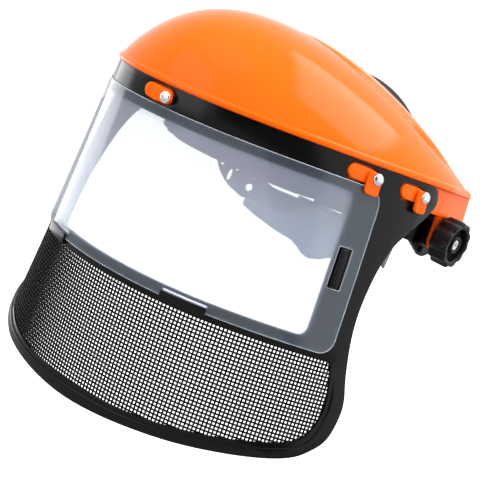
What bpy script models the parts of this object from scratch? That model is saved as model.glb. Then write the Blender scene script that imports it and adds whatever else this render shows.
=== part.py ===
"""Forestry browguard: an orange crown that carries a combined clear and mesh visor, on a ratchet headgear.

Frame: +X is the wearer's left, -Y is forward, +Z is up. The origin is on the axis of the two side
pivots, midway between them. Metres throughout.

The visor wall is a curved sheet. A place on it is given as (s, z, out): s runs along the wall from
the middle of the front, positive to the wearer's left, z is the height, and out is the distance
outward from the outer face of the visor frame.
"""
import math

import bmesh
import bpy
import numpy as np
from mathutils import Matrix, Vector

# ---------------------------------------------------------------- driving dimensions
GAP = 0.0003                  # clearance that touching pieces keep

# visor wall, seen from above: a tight front arc, then a long side arc, then a straight end
FRONT_Y = -0.188              # front of the wall at the brow line
FRONT_RADIUS = 0.090
FRONT_ARC = 0.070             # length of the front arc on each side
SIDE_RADIUS = 0.190
SIDE_ARC = 0.175
WALL_END = 0.330
BROW_Z = 0.0315               # height of the brow line above the pivots
BROW_DIP = 0.0017             # how far the brow line dips, for each (100 mm)^2 forward
FLARE_X = 1.41                # growth of the width per metre of depth
TUCK_Y = 0.655                # shrink of the length per metre of depth

# visor frame
FRAME_THICK = 0.0022
FRAME_TOP = BROW_Z - 0.0003
FRAME_STRIP = 0.007           # length of one flat strip of a curved sheet
RIM_WIDTH = 0.0095
RIM_RISE = 0.0012
WINDOW_HALF = 0.1395
WINDOW_TOP = 0.0113
WINDOW_BOTTOM = -0.0825
WINDOW_CORNER = 0.006
MESH_TOP = -0.0930

# clear sheet
SHEET_HALF = 0.1603
SHEET_TOP = 0.0178
SHEET_BOTTOM = -0.0895
SHEET_CORNER_TOP = 0.012
SHEET_CORNER_BOTTOM = 0.010
SHEET_OUT = (0.0003, 0.0013)
SIDE_SLOT_S = (0.1412, 0.1510)
SIDE_SLOT_Z = (-0.0490, -0.0222)
SIDE_TAB_S = (0.1422, 0.1465)
SIDE_TAB_Z = (-0.0482, -0.0230)
SIDE_TAB_RISE = 0.0042
HOOK_S = (0.0440, 0.0742)
HOOK_Z = (-0.0925, -0.0860)
HOOK_CORE_Z = (-0.0860, -0.0845)

# turn keys
KEY_Z = {"front": 0.0245, "left_front": 0.0238, "left_rear": 0.0224,
         "right_front": 0.0238, "right_rear": 0.0224}
KEY_STATIONS = {"front": -0.0013, "left_front": 0.1407, "left_rear": 0.1855,
                "right_front": -0.1407, "right_rear": -0.1855}
BOSS_LENGTH = 0.0224
BOSS_HEIGHT = 0.0092
BOSS_OUT = 0.0013
SLOT_CLEARANCE = 0.0010
RIVET_OFFSET = 0.0096         # from the middle of the boss towards the rear
RIVET_SHANK = 0.0020
RIVET_HEAD = 0.0038
RIVET_HEAD_HEIGHT = 0.0015
RIVET_DEPTH = 0.0050
KEY_BOTTOM = 0.0017
KEY_THICK = 0.0025
KEY_REACH = 0.0107            # from the rivet to the far end of the lever
KEY_AHEAD = 0.0067            # lever edge ahead of the rivet
KEY_BEHIND = 0.0038           # lever edge behind the rivet
KEY_NECK = 0.0040             # half height of the front lever beside its rivet

# crown
SKIRT_OUT = (-0.0050, -0.0025)
SKIRT_BOTTOM = 0.0140
BEAD_OUT = (-0.0020, 0.0016)
BEAD_Z = (0.0317, 0.0362)
CROWN_THICK = 0.0025
CROWN_HEIGHT = 0.0594
CROWN_PEAK_Y = -0.0986
CROWN_PROFILE = 2.4           # how square the profile is from the front to the peak
CROWN_SECTION = 1.6           # 1 is an ellipse across, more is leaner at the shoulders
CROWN_OVERHANG = 0.0008
CROWN_REAR_LOW_Y = 0.0322     # rear edge at the brow line
CROWN_REAR_TOP_Y = -0.052     # rear edge at the top
CROWN_REAR_CURVE = 0.87
CROWN_FALL = 22.2             # how fast the top drops behind the peak, per square metre
CROWN_RINGS = 18
CROWN_SPOKES = 24

# pivots, as distances from the middle plane
EAR_X = (0.1144, 0.1172)
EAR_RADIUS = 0.0118
EAR_SHOULDER = 0.0155        # half width of the ear where it leaves the skirt
EAR_BORE = 0.0036
PLATE_X = (0.1078, 0.1108)
PLATE_RADIUS = 0.0170
PLATE_HUB = (0.0085, 0.1141)  # radius and end of the hub that faces the ear
PLATE_STUD = (-0.0045, -0.0125, 0.0024, 0.1125)   # y, z, radius and end of the stop stud
WASHER_X = (0.1175, 0.1191)
WASHER_RADIUS = 0.0100
KNOB_X = (0.1195, 0.1328)
KNOB_RADIUS = 0.0158
KNOB_LOBES = 10
KNOB_LOBE_DEPTH = 0.0007
KNOB_RECESS = 0.0118
KNOB_RECESS_DEPTH = 0.0048
KNOB_HUB = 0.0060
SCREW_SHANK = 0.0029
SCREW_HEAD = 0.0058
SCREW_X = (0.1036, 0.1312)
NUT_RADIUS = 0.0046
NUT_X = (0.1222, 0.1270)

# headgear ring
RING_HALF_WIDTH = 0.078
RING_HALF_LENGTH = 0.110
RING_REAR_LENGTH = 0.094
RING_CENTRE_Y = -0.010
BAND_THICK = 0.0020
BAND_BOTTOM = (-0.0085, -0.0060)   # at the front and at the sides
BAND_TOP_FRONT = 0.0240
BAND_TOP_SIDE = 0.0120
BAND_END = math.radians(93)
PAD_THICK = 0.0045
ARM_ROOT_Y = 0.000
REAR_TOP = -0.0245
REAR_BOTTOM = -0.0435
RACK_HEIGHT = 0.0050
PINION_Z = -0.0340
PINION_ROOT = 0.0034
PINION_TIP = 0.0042
RATCHET_KNOB_RADIUS = 0.0195

# top strap
STRAP_Y = 0.0115
STRAP_WIDTH = 0.018
STRAP_THICK = 0.0016
STRAP_HALF = 0.0836
STRAP_RISE = 0.0845

ORANGE = (0.93, 0.16, 0.012)
BLACK = (0.012, 0.012, 0.013)
DARK = (0.03, 0.03, 0.033)
GREY = (0.10, 0.105, 0.11)
CLEAR = (0.80, 0.88, 0.95)
STEEL = (0.72, 0.73, 0.74)
BRASS = (0.70, 0.50, 0.20)


# ---------------------------------------------------------------- scene and materials
def clear_scene():
    for obj in list(bpy.data.objects):
        bpy.data.objects.remove(obj, do_unlink=True)


def finish_material(obj, colour, roughness, metallic=0.0):
    material = bpy.data.materials.new(obj.name)
    material.use_nodes = True
    shader = material.node_tree.nodes["Principled BSDF"]
    shader.inputs["Base Color"].default_value = (*colour, 1.0)
    shader.inputs["Roughness"].default_value = roughness
    shader.inputs["Metallic"].default_value = metallic
    obj.data.materials.clear()
    obj.data.materials.append(material)
    for polygon in obj.data.polygons:
        polygon.material_index = 0


def link(name, mesh):
    obj = bpy.data.objects.new(name, mesh)
    bpy.context.scene.collection.objects.link(obj)
    return obj


def object_from(name, points, faces):
    """A closed mesh from points and faces, with its normals turned outward."""
    mesh = bpy.data.meshes.new(name)
    mesh.from_pydata([tuple(p) for p in points], [], faces)
    outward(mesh)
    return link(name, mesh)


def outward(mesh):
    work = bmesh.new()
    work.from_mesh(mesh)
    bmesh.ops.recalc_face_normals(work, faces=work.faces)
    work.to_mesh(mesh)
    work.free()


def smooth(obj, degrees=35):
    obj.data.shade_smooth()
    obj.data.set_sharp_from_angle(angle=math.radians(degrees))


# ---------------------------------------------------------------- solids
def grid_solid(name, outer, inner):
    """A shell between two equal grids of points, closed around its edge."""
    rows, cols = len(outer), len(outer[0])
    points = [p for row in outer for p in row] + [p for row in inner for p in row]
    offset = rows * cols
    faces = []
    for i in range(rows - 1):
        for j in range(cols - 1):
            quad = (i * cols + j, i * cols + j + 1, (i + 1) * cols + j + 1, (i + 1) * cols + j)
            faces.append(quad)
            faces.append(tuple(offset + k for k in reversed(quad)))
    border = [j for j in range(cols)]
    border += [i * cols + cols - 1 for i in range(1, rows)]
    border += [(rows - 1) * cols + j for j in range(cols - 2, -1, -1)]
    border += [i * cols for i in range(rows - 2, 0, -1)]
    for k, a in enumerate(border):
        b = border[(k + 1) % len(border)]
        faces.append((b, a, offset + a, offset + b))
    return object_from(name, points, faces)


def prism(name, outline, low, high, place):
    """An outline of (u, v) pairs extruded from low to high; place(u, v, w) gives the point."""
    count = len(outline)
    points = [place(u, v, low) for u, v in outline] + [place(u, v, high) for u, v in outline]
    faces = [tuple(range(count)), tuple(range(2 * count - 1, count - 1, -1))]
    for k in range(count):
        n = (k + 1) % count
        faces.append((k, n, count + n, count + k))
    return object_from(name, points, faces)


def turned(name, profile, place, segments=32):
    """A solid of revolution; profile is (radius, along) pairs around a closed section."""
    points, faces, count = [], [], len(profile)
    for k in range(segments):
        angle = 2 * math.pi * k / segments
        for radius, along in profile:
            points.append(place(radius * math.cos(angle), radius * math.sin(angle), along))
    for k in range(segments):
        n = (k + 1) % segments
        for j in range(count):
            m = (j + 1) % count
            if max(profile[j][0], profile[m][0]) > 0:
                faces.append((k * count + j, k * count + m, n * count + m, n * count + j))
    obj = object_from(name, points, faces)
    weld(obj)
    return obj


def weld(obj, distance=1e-6):
    work = bmesh.new()
    work.from_mesh(obj.data)
    bmesh.ops.remove_doubles(work, verts=work.verts, dist=distance)
    bmesh.ops.dissolve_degenerate(work, edges=work.edges, dist=distance)
    bmesh.ops.recalc_face_normals(work, faces=work.faces)
    work.to_mesh(obj.data)
    work.free()


def combine(obj, others, operation):
    """Boolean of obj with each of the others, applied to obj's mesh; the others are removed."""
    for other in others:
        modifier = obj.modifiers.new("combine", "BOOLEAN")
        modifier.object = other
        modifier.operation = operation
        modifier.solver = "EXACT"
        graph = bpy.context.evaluated_depsgraph_get()
        result = bpy.data.meshes.new_from_object(obj.evaluated_get(graph))
        obj.modifiers.clear()
        obj.data = result
        bpy.data.objects.remove(other, do_unlink=True)
    return obj


# ---------------------------------------------------------------- outlines
def arc(centre, radius, start, end, steps):
    """Points of an arc; the angles are in degrees."""
    angles = [math.radians(start + (end - start) * k / steps) for k in range(steps + 1)]
    return [(centre[0] + radius * math.cos(a), centre[1] + radius * math.sin(a)) for a in angles]


def rounded_box(u0, u1, v0, v1, radius_low, radius_high, steps=4):
    points = arc((u1 - radius_low, v0 + radius_low), radius_low, -90, 0, steps)
    points += arc((u1 - radius_high, v1 - radius_high), radius_high, 0, 90, steps)
    points += arc((u0 + radius_high, v1 - radius_high), radius_high, 90, 180, steps)
    points += arc((u0 + radius_low, v0 + radius_low), radius_low, 180, 270, steps)
    return points


def obround(centre, length, height, steps=6):
    reach = (length - height) / 2
    right = arc((centre[0] + reach, centre[1]), height / 2, -90, 90, steps)
    left = arc((centre[0] - reach, centre[1]), height / 2, 90, 270, steps)
    return right + left


def spline(points, steps):
    """A smooth curve through the points, level where it ends on the middle line."""
    ends = [points[0]] + list(points) + [(-points[-2][0], points[-2][1])]
    curve = []
    for k in range(1, len(ends) - 2):
        p0, p1, p2, p3 = (Vector(ends[k + d]) for d in (-1, 0, 1, 2))
        for i in range(steps):
            t = i / steps
            point = 2 * p1 + (p2 - p0) * t + (2 * p0 - 5 * p1 + 4 * p2 - p3) * t * t
            point = (point + (3 * p1 - p0 - 3 * p2 + p3) * t ** 3) / 2
            curve.append((point.x, point.y))
    curve.append(tuple(points[-1]))
    return curve


def mirrored(half):
    """A half outline from the middle of the top round to the middle of the bottom, made whole."""
    return half + [(-u, v) for u, v in reversed(half)][1:-1]


def frame_outline():
    """Outer edge of the visor frame in (s, z)."""
    shape = [(0.0, FRAME_TOP), (0.207, FRAME_TOP)]
    shape += arc((0.2085, FRAME_TOP - 0.0085), 0.0085, 90, -45, 6)[1:]
    rear = [(0.2070, 0.0095), (0.1930, -0.0030), (0.1835, -0.0140), (0.1760, -0.0320),
            (0.1722, -0.0550), (0.1728, -0.0750), (0.1770, -0.0960), (0.1820, -0.1130),
            (0.1828, -0.1250), (0.1790, -0.1400), (0.1700, -0.1500), (0.1540, -0.1590),
            (0.1200, -0.1670), (0.0700, -0.1745), (0.0, -0.1800)]
    return mirrored(shape + spline(rear, 3))


def mesh_outline(grow=0.0):
    """Edge of the mesh opening in (s, z)."""
    top = MESH_TOP + grow
    shape = [(0.0, top), (0.1590 + grow, top)]
    rear = [(0.1640 + grow, MESH_TOP - 0.0030), (0.1690 + grow, -0.1150), (0.1690 + grow, -0.1280),
            (0.1620 + grow, -0.1430 - grow), (0.1440, -0.1518 - grow), (0.1000, -0.1612 - grow),
            (0.0500, -0.1675 - grow), (0.0, -0.1692 - grow)]
    return mirrored(shape + spline(rear, 3))


# ---------------------------------------------------------------- visor wall
def plan_curve(count=661):
    """The wall's outer line at the brow, as points along it for the wearer's left half."""
    s = np.linspace(0.0, WALL_END, count)
    turn = FRONT_ARC / FRONT_RADIUS
    end_turn = turn + SIDE_ARC / SIDE_RADIUS
    first = np.minimum(s, FRONT_ARC) / FRONT_RADIUS
    second = turn + np.clip(s - FRONT_ARC, 0, SIDE_ARC) / SIDE_RADIUS
    rest = np.maximum(s - FRONT_ARC - SIDE_ARC, 0)
    x = FRONT_RADIUS * np.sin(first) + SIDE_RADIUS * (np.sin(second) - math.sin(turn))
    x = x + rest * math.cos(end_turn)
    y = FRONT_Y + FRONT_RADIUS * (1 - np.cos(first)) + SIDE_RADIUS * (math.cos(turn) - np.cos(second))
    y = y + rest * math.sin(end_turn)
    return x, y


PLAN_X, PLAN_Y = plan_curve()


def brow_height(y):
    return -BROW_DIP * (y / 0.1) ** 2


def wall_frame(s, z):
    """Point on the wall, its direction along the wall and its outward direction, all level."""
    depth = BROW_Z - z
    x = PLAN_X * (1 + FLARE_X * depth)
    y = PLAN_Y * (1 - TUCK_Y * depth)
    run = np.concatenate([[0.0], np.cumsum(np.hypot(np.diff(x), np.diff(y)))])
    a = min(abs(s), run[-1] - 0.001)
    px, py = float(np.interp(a, run, x)), float(np.interp(a, run, y))
    ahead = Vector((float(np.interp(a + 0.0005, run, x)), float(np.interp(a + 0.0005, run, y))))
    behind_s = max(a - 0.0005, 0.0)
    behind = Vector((float(np.interp(behind_s, run, x)), float(np.interp(behind_s, run, y))))
    tangent = (ahead - behind).normalized()
    if a < 0.0005:
        tangent = Vector((1.0, 0.0))
    side = -1.0 if s < 0 else 1.0
    point = Vector((side * px, py, z + brow_height(py)))
    along = Vector((tangent.x, side * tangent.y, 0.0))
    out = Vector((side * tangent.y, -tangent.x, 0.0))
    return point, along, out


def wall_point(s, z, out):
    point, _, outward_way = wall_frame(s, z)
    return point + outward_way * out


def flat(s, z, out):
    """A sheet is cut while flat: s along X, out along Y, z up. It is bent afterwards."""
    return Vector((s, -out, z))


def bend(obj):
    """Bends a flat sheet onto the wall."""
    for vertex in obj.data.vertices:
        s, minus_out, z = vertex.co
        vertex.co = wall_point(s, z, -minus_out)
    outward(obj.data)
    return obj


def flat_strips(name, half, low, high, out):
    """A flat plate cut into strips, so that it can bend."""
    return flat_span(name, -half, half, low, high, out)


def flat_span(name, start, end, low, high, out):
    count = max(2, round((end - start) / FRAME_STRIP))
    stations = [start + (end - start) * k / count for k in range(count + 1)]
    outer = [[flat(s, z, out[1]) for z in (low, high)] for s in stations]
    inner = [[flat(s, z, out[0]) for z in (low, high)] for s in stations]
    return grid_solid(name, outer, inner)


def flat_prism(outline, out):
    return prism("cutter", outline, out[0], out[1], lambda s, z, w: flat(s, z, w))


# ---------------------------------------------------------------- turn-key stations
def station_matrix(station):
    """Local axes at a key: x to the rear along the wall, y outward, z up the wall."""
    s = KEY_STATIONS[station]
    level = KEY_Z[station]
    point, along, out = wall_frame(s, level)
    if s < -0.01:
        along = -along
    above = wall_point(s, level + 0.005, 0.0)
    below = wall_point(s, level - 0.005, 0.0)
    up = (above - below).normalized()
    out = along.cross(up).normalized() * (1.0 if along.cross(up).dot(out) > 0 else -1.0)
    rear = along.normalized()
    matrix = Matrix.Identity(4)
    for row in range(3):
        matrix[row][0], matrix[row][1], matrix[row][2] = rear[row], out[row], up[row]
        matrix[row][3] = point[row]
    return matrix


def on_station(station):
    matrix = station_matrix(station)
    return lambda u, v, w: matrix @ Vector((u, w, v))


def lever_outline(station):
    """Outline about the rivet. The side levers hang down, and the front one points forward along its boss."""
    if station == "front":
        half = BOSS_HEIGHT / 2
        outline = arc((-KEY_REACH + 0.0025, half - 0.0025), 0.0025, 90, 180, 4)
        outline += arc((-KEY_REACH + 0.0025, 0.0025 - half), 0.0025, 180, 270, 4)
        return outline + [(-0.0030, -KEY_NECK)] + arc((0, 0), KEY_NECK, -90, 90, 8) + [(-0.0030, KEY_NECK)]
    outline = arc((-KEY_AHEAD + 0.0025, -KEY_REACH + 0.0025), 0.0025, 180, 270, 4)
    outline += arc((KEY_BEHIND - 0.0025, -KEY_REACH + 0.0025), 0.0025, -90, 0, 4)
    outline += arc((0, 0), KEY_BEHIND, 0, 90, 6)
    return outline + arc((-KEY_AHEAD + 0.0025, KEY_BEHIND - 0.0025), 0.0025, 90, 180, 4)


# ---------------------------------------------------------------- visor pieces
def make_visor_frame():
    body = flat_strips("visor_frame", 0.2177, -0.1815, FRAME_TOP + 0.002, (-FRAME_THICK, 0.0))
    combine(body, [flat_prism(frame_outline(), (-0.01, 0.01))], "INTERSECT")
    rim = flat_strips("rim", 0.1950, -0.1812, MESH_TOP - 0.002, (-FRAME_THICK / 2, RIM_RISE))
    combine(rim, [flat_prism(frame_outline(), (-0.01, 0.01))], "INTERSECT")
    combine(rim, [flat_prism(mesh_outline(0.0025), (-0.01, 0.01))], "DIFFERENCE")
    body = combine(body, [rim], "UNION")
    top = SHEET_OUT[1] + 0.0016
    for side in (-1, 1):
        left, right = sorted((side * HOOK_S[0], side * HOOK_S[1]))
        foot = flat_span("foot", left, right, HOOK_Z[0], SHEET_BOTTOM - 0.0004, (-0.001, top - 0.0004))
        lip = flat_span("lip", left, right, HOOK_Z[0] + 0.0001, HOOK_Z[1], (SHEET_OUT[1] + GAP, top))
        combine(body, [foot, lip], "UNION")
        left, right = sorted((side * SIDE_TAB_S[0], side * SIDE_TAB_S[1]))
        tab = rounded_box(left, right, *SIDE_TAB_Z, 0.0003, 0.0003, 1)
        combine(body, [flat_prism(tab, (-0.001, SIDE_TAB_RISE))], "UNION")
    holes = [rounded_box(-WINDOW_HALF, WINDOW_HALF, WINDOW_BOTTOM, WINDOW_TOP, WINDOW_CORNER, WINDOW_CORNER),
             mesh_outline()]
    for side in (-1, 1):
        left, right = sorted((side * HOOK_S[0], side * HOOK_S[1]))
        holes.append(rounded_box(left, right, *HOOK_CORE_Z, 0.0004, 0.0004, 1))
    for station, s in KEY_STATIONS.items():
        length = BOSS_LENGTH + 2 * SLOT_CLEARANCE
        holes.append(obround((s, KEY_Z[station]), length, BOSS_HEIGHT + 2 * SLOT_CLEARANCE))
    for hole in holes:
        combine(body, [flat_prism(hole, (-0.01, 0.0012))], "DIFFERENCE")
    bend(body)
    smooth(body)
    finish_material(body, BLACK, 0.22)


def make_clear_window():
    body = flat_strips("clear_window", SHEET_HALF + 0.001, SHEET_BOTTOM - 0.001, SHEET_TOP + 0.001, SHEET_OUT)
    edge = rounded_box(-SHEET_HALF, SHEET_HALF, SHEET_BOTTOM, SHEET_TOP,
                       SHEET_CORNER_BOTTOM, SHEET_CORNER_TOP)
    combine(body, [flat_prism(edge, (-0.01, 0.01))], "INTERSECT")
    for side in (-1, 1):
        left, right = sorted((side * SIDE_SLOT_S[0], side * SIDE_SLOT_S[1]))
        slot = rounded_box(left, right, *SIDE_SLOT_Z, 0.0004, 0.0004, 1)
        combine(body, [flat_prism(slot, (-0.01, 0.01))], "DIFFERENCE")
    bend(body)
    smooth(body)
    finish_material(body, CLEAR, 0.06)


def make_mesh_panel():
    body = flat_strips("mesh_panel", 0.180, -0.180, MESH_TOP + 0.008, (-0.0034, -0.0025))
    combine(body, [flat_prism(mesh_outline(0.0040), (-0.02, 0.02))], "INTERSECT")
    bend(body)
    smooth(body)
    finish_material(body, DARK, 0.5)


# ---------------------------------------------------------------- crown
def crown_grid(shrink):
    """Rings of the dome from front to rear; shrink is how far inside the outer skin it lies."""
    front = FRONT_Y - CROWN_OVERHANG + shrink
    height = CROWN_HEIGHT - shrink
    grid = []
    for i in range(CROWN_RINGS + 1):
        run = (i / CROWN_RINGS) ** 1.6
        ring = []
        for j in range(CROWN_SPOKES + 1):
            angle = math.pi * j / CROWN_SPOKES
            wide = math.cos(angle)
            tall = max(math.sin(angle), 0.0) ** CROWN_SECTION
            rear = CROWN_REAR_LOW_Y
            rear += (CROWN_REAR_TOP_Y - CROWN_REAR_LOW_Y) * tall ** CROWN_REAR_CURVE
            y = front + (rear - front) * run
            ring.append(crown_point(y, front, height, wide, tall, shrink))
        grid.append(ring)
    return grid


def crown_point(y, front, height, wide, tall, shrink):
    plan_y = y * FRONT_Y / front if y < 0 else y
    half = float(np.interp(plan_y, PLAN_Y, PLAN_X)) + CROWN_OVERHANG
    half = max(half - shrink, 0.0) if y > front else 0.0
    rise = height * (1 - CROWN_FALL * (y - CROWN_PEAK_Y) ** 2)
    if y < CROWN_PEAK_Y:
        reach = min((CROWN_PEAK_Y - y) / (CROWN_PEAK_Y - front), 1.0)
        rise = height * max(1 - reach ** CROWN_PROFILE, 0.0) ** (1 / CROWN_PROFILE)
    base = BEAD_Z[0] + brow_height(y)
    return Vector((half * wide, y, base + rise * tall))


def make_crown_shell():
    outer, inner = crown_grid(0.0), crown_grid(CROWN_THICK)
    dome = grid_solid("crown_shell", outer, inner)
    weld(dome, 2e-5)
    rear_s = 0.2805
    bead = flat_strips("bead", rear_s, BEAD_Z[0], BEAD_Z[1], BEAD_OUT)
    combine(dome, [bend(bead)], "UNION")
    skirt = flat_strips("skirt", rear_s, SKIRT_BOTTOM, BEAD_Z[1] - 0.0012, SKIRT_OUT)
    combine(dome, [bend(skirt)], "UNION")
    for side in (-1, 1):
        place = on_axis(side)
        tongue = [(EAR_SHOULDER, 0.0160)] + [(-EAR_SHOULDER, 0.0160)] + arc((0, 0), EAR_RADIUS, 188, 352, 24)
        ear = prism("ear", tongue, EAR_X[0], EAR_X[1], place)
        combine(dome, [ear], "UNION")
        bore = turned("bore", [(0.0, 0.10), (EAR_BORE, 0.10), (EAR_BORE, 0.13), (0.0, 0.13)], place, 20)
        combine(dome, [bore], "DIFFERENCE")
    for station in KEY_STATIONS:
        place = on_station(station)
        boss = prism("boss", obround((0, 0), BOSS_LENGTH, BOSS_HEIGHT), SKIRT_OUT[0] + 0.0005, BOSS_OUT, place)
        combine(dome, [boss], "UNION")
        hole = arc((RIVET_OFFSET, 0), RIVET_SHANK + GAP, 0, 337.5, 15)
        depth = BOSS_OUT - RIVET_DEPTH - GAP
        combine(dome, [prism("hole", hole, depth, 0.01, place)], "DIFFERENCE")
    smooth(dome)
    finish_material(dome, ORANGE, 0.2)


def on_axis(side):
    """Places a turned piece along the pivot axis, outward on the given side."""
    return lambda u, v, w: Vector((side * w, u, v))


# ---------------------------------------------------------------- turn keys
def make_turn_keys():
    for station in KEY_STATIONS:
        place = on_station(station)
        lever = [(RIVET_OFFSET + u, v) for u, v in lever_outline(station)]
        name = "turn_key_" + station
        body = prism(name, lever, KEY_BOTTOM, KEY_BOTTOM + KEY_THICK, place)
        hole = arc((RIVET_OFFSET, 0), RIVET_SHANK + GAP, 0, 337.5, 15)
        combine(body, [prism("hole", hole, 0.0, 0.01, place)], "DIFFERENCE")
        smooth(body)
        set_origin(body, place(RIVET_OFFSET, 0, 0))
        finish_material(body, ORANGE, 0.22)

        shifted = lambda u, v, w, place=place: place(RIVET_OFFSET + u, v, w)
        head = KEY_BOTTOM + KEY_THICK + GAP
        profile = [(0.0, BOSS_OUT - RIVET_DEPTH), (RIVET_SHANK, BOSS_OUT - RIVET_DEPTH),
                   (RIVET_SHANK, head), (RIVET_HEAD, head),
                   (RIVET_HEAD * 0.92, head + RIVET_HEAD_HEIGHT * 0.55),
                   (RIVET_HEAD * 0.6, head + RIVET_HEAD_HEIGHT), (0.0, head + RIVET_HEAD_HEIGHT)]
        rivet = turned("rivet_" + station, profile, shifted, 16)
        smooth(rivet)
        finish_material(rivet, STEEL, 0.25, 1.0)


def set_origin(obj, point):
    obj.data.transform(Matrix.Translation(-point))
    obj.location = point


# ---------------------------------------------------------------- pivots
def make_pivots():
    for side, name in ((1, "left"), (-1, "right")):
        make_pivot_plate(side, name)
        place = on_axis(side)
        screw = [(0.0, SCREW_X[0]), (SCREW_HEAD, SCREW_X[0]), (SCREW_HEAD, PLATE_X[0] - GAP),
                 (SCREW_SHANK, PLATE_X[0] - GAP), (SCREW_SHANK, SCREW_X[1] - 0.0004),
                 (SCREW_SHANK - 0.0004, SCREW_X[1]), (0.0014, SCREW_X[1]),
                 (0.0014, SCREW_X[1] - 0.002), (0.0, SCREW_X[1] - 0.002)]
        body = turned("pivot_screw_" + name, screw, place, 24)
        smooth(body)
        finish_material(body, STEEL, 0.25, 1.0)
        washer = [(SCREW_SHANK + GAP, WASHER_X[0]), (WASHER_RADIUS, WASHER_X[0]),
                  (WASHER_RADIUS, WASHER_X[1]), (SCREW_SHANK + GAP, WASHER_X[1])]
        body = turned("friction_washer_" + name, washer, place, 32)
        smooth(body)
        finish_material(body, DARK, 0.5)
        make_clamp_knob(side, name)


def make_clamp_knob(side, name):
    place = on_axis(side)
    outline = []
    for k in range(KNOB_LOBES * 8):
        angle = 2 * math.pi * k / (KNOB_LOBES * 8)
        radius = KNOB_RADIUS + KNOB_LOBE_DEPTH * math.cos(KNOB_LOBES * angle)
        outline.append((radius * math.cos(angle), radius * math.sin(angle)))
    body = prism("clamp_knob_" + name, outline, KNOB_X[0], KNOB_X[1], place)
    floor = KNOB_X[1] - KNOB_RECESS_DEPTH
    recess = [(KNOB_HUB, floor), (KNOB_RECESS, floor), (KNOB_RECESS, 0.14), (KNOB_HUB, 0.14)]
    combine(body, [turned("recess", recess, place, 32)], "DIFFERENCE")
    nut = NUT_RADIUS + GAP
    bore = [(0.0, 0.11), (SCREW_SHANK + GAP, 0.11), (SCREW_SHANK + GAP, NUT_X[0] - GAP), (nut, NUT_X[0] - GAP),
            (nut, 0.14), (0.0, 0.14)]
    combine(body, [turned("bore", bore, place, 24)], "DIFFERENCE")
    smooth(body)
    set_origin(body, Vector((side * KNOB_X[0], 0, 0)))
    finish_material(body, BLACK, 0.3)
    hexagon = arc((0, 0), NUT_RADIUS, 0, 300, 5)
    nut_body = prism("knob_nut_" + name, hexagon, NUT_X[0], NUT_X[1], place)
    thread = turned("thread", [(0.0, 0.11), (SCREW_SHANK + GAP, 0.11), (SCREW_SHANK + GAP, 0.14), (0.0, 0.14)],
                    place, 24)
    combine(nut_body, [thread], "DIFFERENCE")
    finish_material(nut_body, BRASS, 0.3, 1.0)


def make_pivot_plate(side, name):
    """A round plate on the pivot, with an arm that bends in to the side of the head band."""
    place = on_axis(side)
    outline = arc((0, 0), PLATE_RADIUS, -104, 104, 30) + [(-0.0190, 0.0098), (-0.0190, -0.0098)]
    body = prism("pivot_plate_" + name, outline, PLATE_X[0], PLATE_X[1], place)
    near = BAND_THICK + 0.0005
    far = near + PLATE_X[1] - PLATE_X[0]
    path = [(PLATE_X[0], 0.004), (PLATE_X[0], -0.022)]
    path += [tuple(ring_point(math.radians(a), 0.0, near).xy) for a in (66, 63, 60, 56, 52)]
    path += [tuple(ring_point(math.radians(a), 0.0, far).xy) for a in (52, 56, 60, 63, 68)]
    path += [(PLATE_X[1], -0.0235), (PLATE_X[1], 0.004)]
    arm = prism("arm", path, -0.0090, 0.0090, lambda u, v, w: Vector((side * u, v, w)))
    hub = turned("hub", [(0.0, 0.1090), (PLATE_HUB[0], 0.1090), (PLATE_HUB[0], PLATE_HUB[1]),
                         (0.0, PLATE_HUB[1])], place, 28)
    y, z, radius, end = PLATE_STUD
    stud = turned("stud", [(0.0, 0.1095), (radius, 0.1095), (radius, end), (0.0, end)],
                  lambda u, v, w: place(u + y, v + z, w), 16)
    combine(body, [arm], "UNION")
    combine(body, [hub], "UNION")
    combine(body, [stud], "UNION")
    bore = turned("bore", [(0.0, 0.09), (SCREW_SHANK + GAP, 0.09), (SCREW_SHANK + GAP, 0.12), (0.0, 0.12)],
                  place, 24)
    combine(body, [bore], "DIFFERENCE")
    smooth(body)
    finish_material(body, BLACK, 0.35)


# ---------------------------------------------------------------- headgear
def ring_point(angle, z, out):
    """Point on the head ring; the angle runs from the front, positive to the wearer's left."""
    length = RING_HALF_LENGTH if math.cos(angle) > 0 else RING_REAR_LENGTH
    x = RING_HALF_WIDTH * math.sin(angle)
    y = RING_CENTRE_Y - length * math.cos(angle)
    normal = Vector((math.sin(angle) / RING_HALF_WIDTH, -math.cos(angle) / length, 0)).normalized()
    return Vector((x, y, z)) + normal * out


def ring_strip(name, start, end, steps, bottom, top, out):
    """A band on the ring; bottom and top are functions of the angle."""
    angles = [start + (end - start) * k / steps for k in range(steps + 1)]
    outer = [[ring_point(a, z, out[1]) for z in (bottom(a), top(a))] for a in angles]
    inner = [[ring_point(a, z, out[0]) for z in (bottom(a), top(a))] for a in angles]
    return grid_solid(name, outer, inner)


def ring_sweep(name, start, end, steps, section):
    """A closed section of (z, out) pairs carried along the ring."""
    count = len(section)
    points, faces = [], []
    for k in range(steps + 1):
        angle = start + (end - start) * k / steps
        points += [ring_point(angle, z, out) for z, out in section]
    for k in range(steps):
        for j in range(count):
            m = (j + 1) % count
            faces.append((k * count + j, k * count + m, (k + 1) * count + m, (k + 1) * count + j))
    faces.append(tuple(range(count)))
    faces.append(tuple(range((steps + 1) * count - 1, steps * count - 1, -1)))
    return object_from(name, points, faces)


def ease(value, start, end):
    t = min(max((value - start) / (end - start), 0.0), 1.0)
    return t * t * (3 - 2 * t)


def band_top(angle):
    return BAND_TOP_FRONT + (BAND_TOP_SIDE - BAND_TOP_FRONT) * ease(abs(angle), 0.5, 1.3)


def band_bottom(angle):
    return BAND_BOTTOM[0] + (BAND_BOTTOM[1] - BAND_BOTTOM[0]) * ease(abs(angle), 0.7, 1.15)


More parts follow.
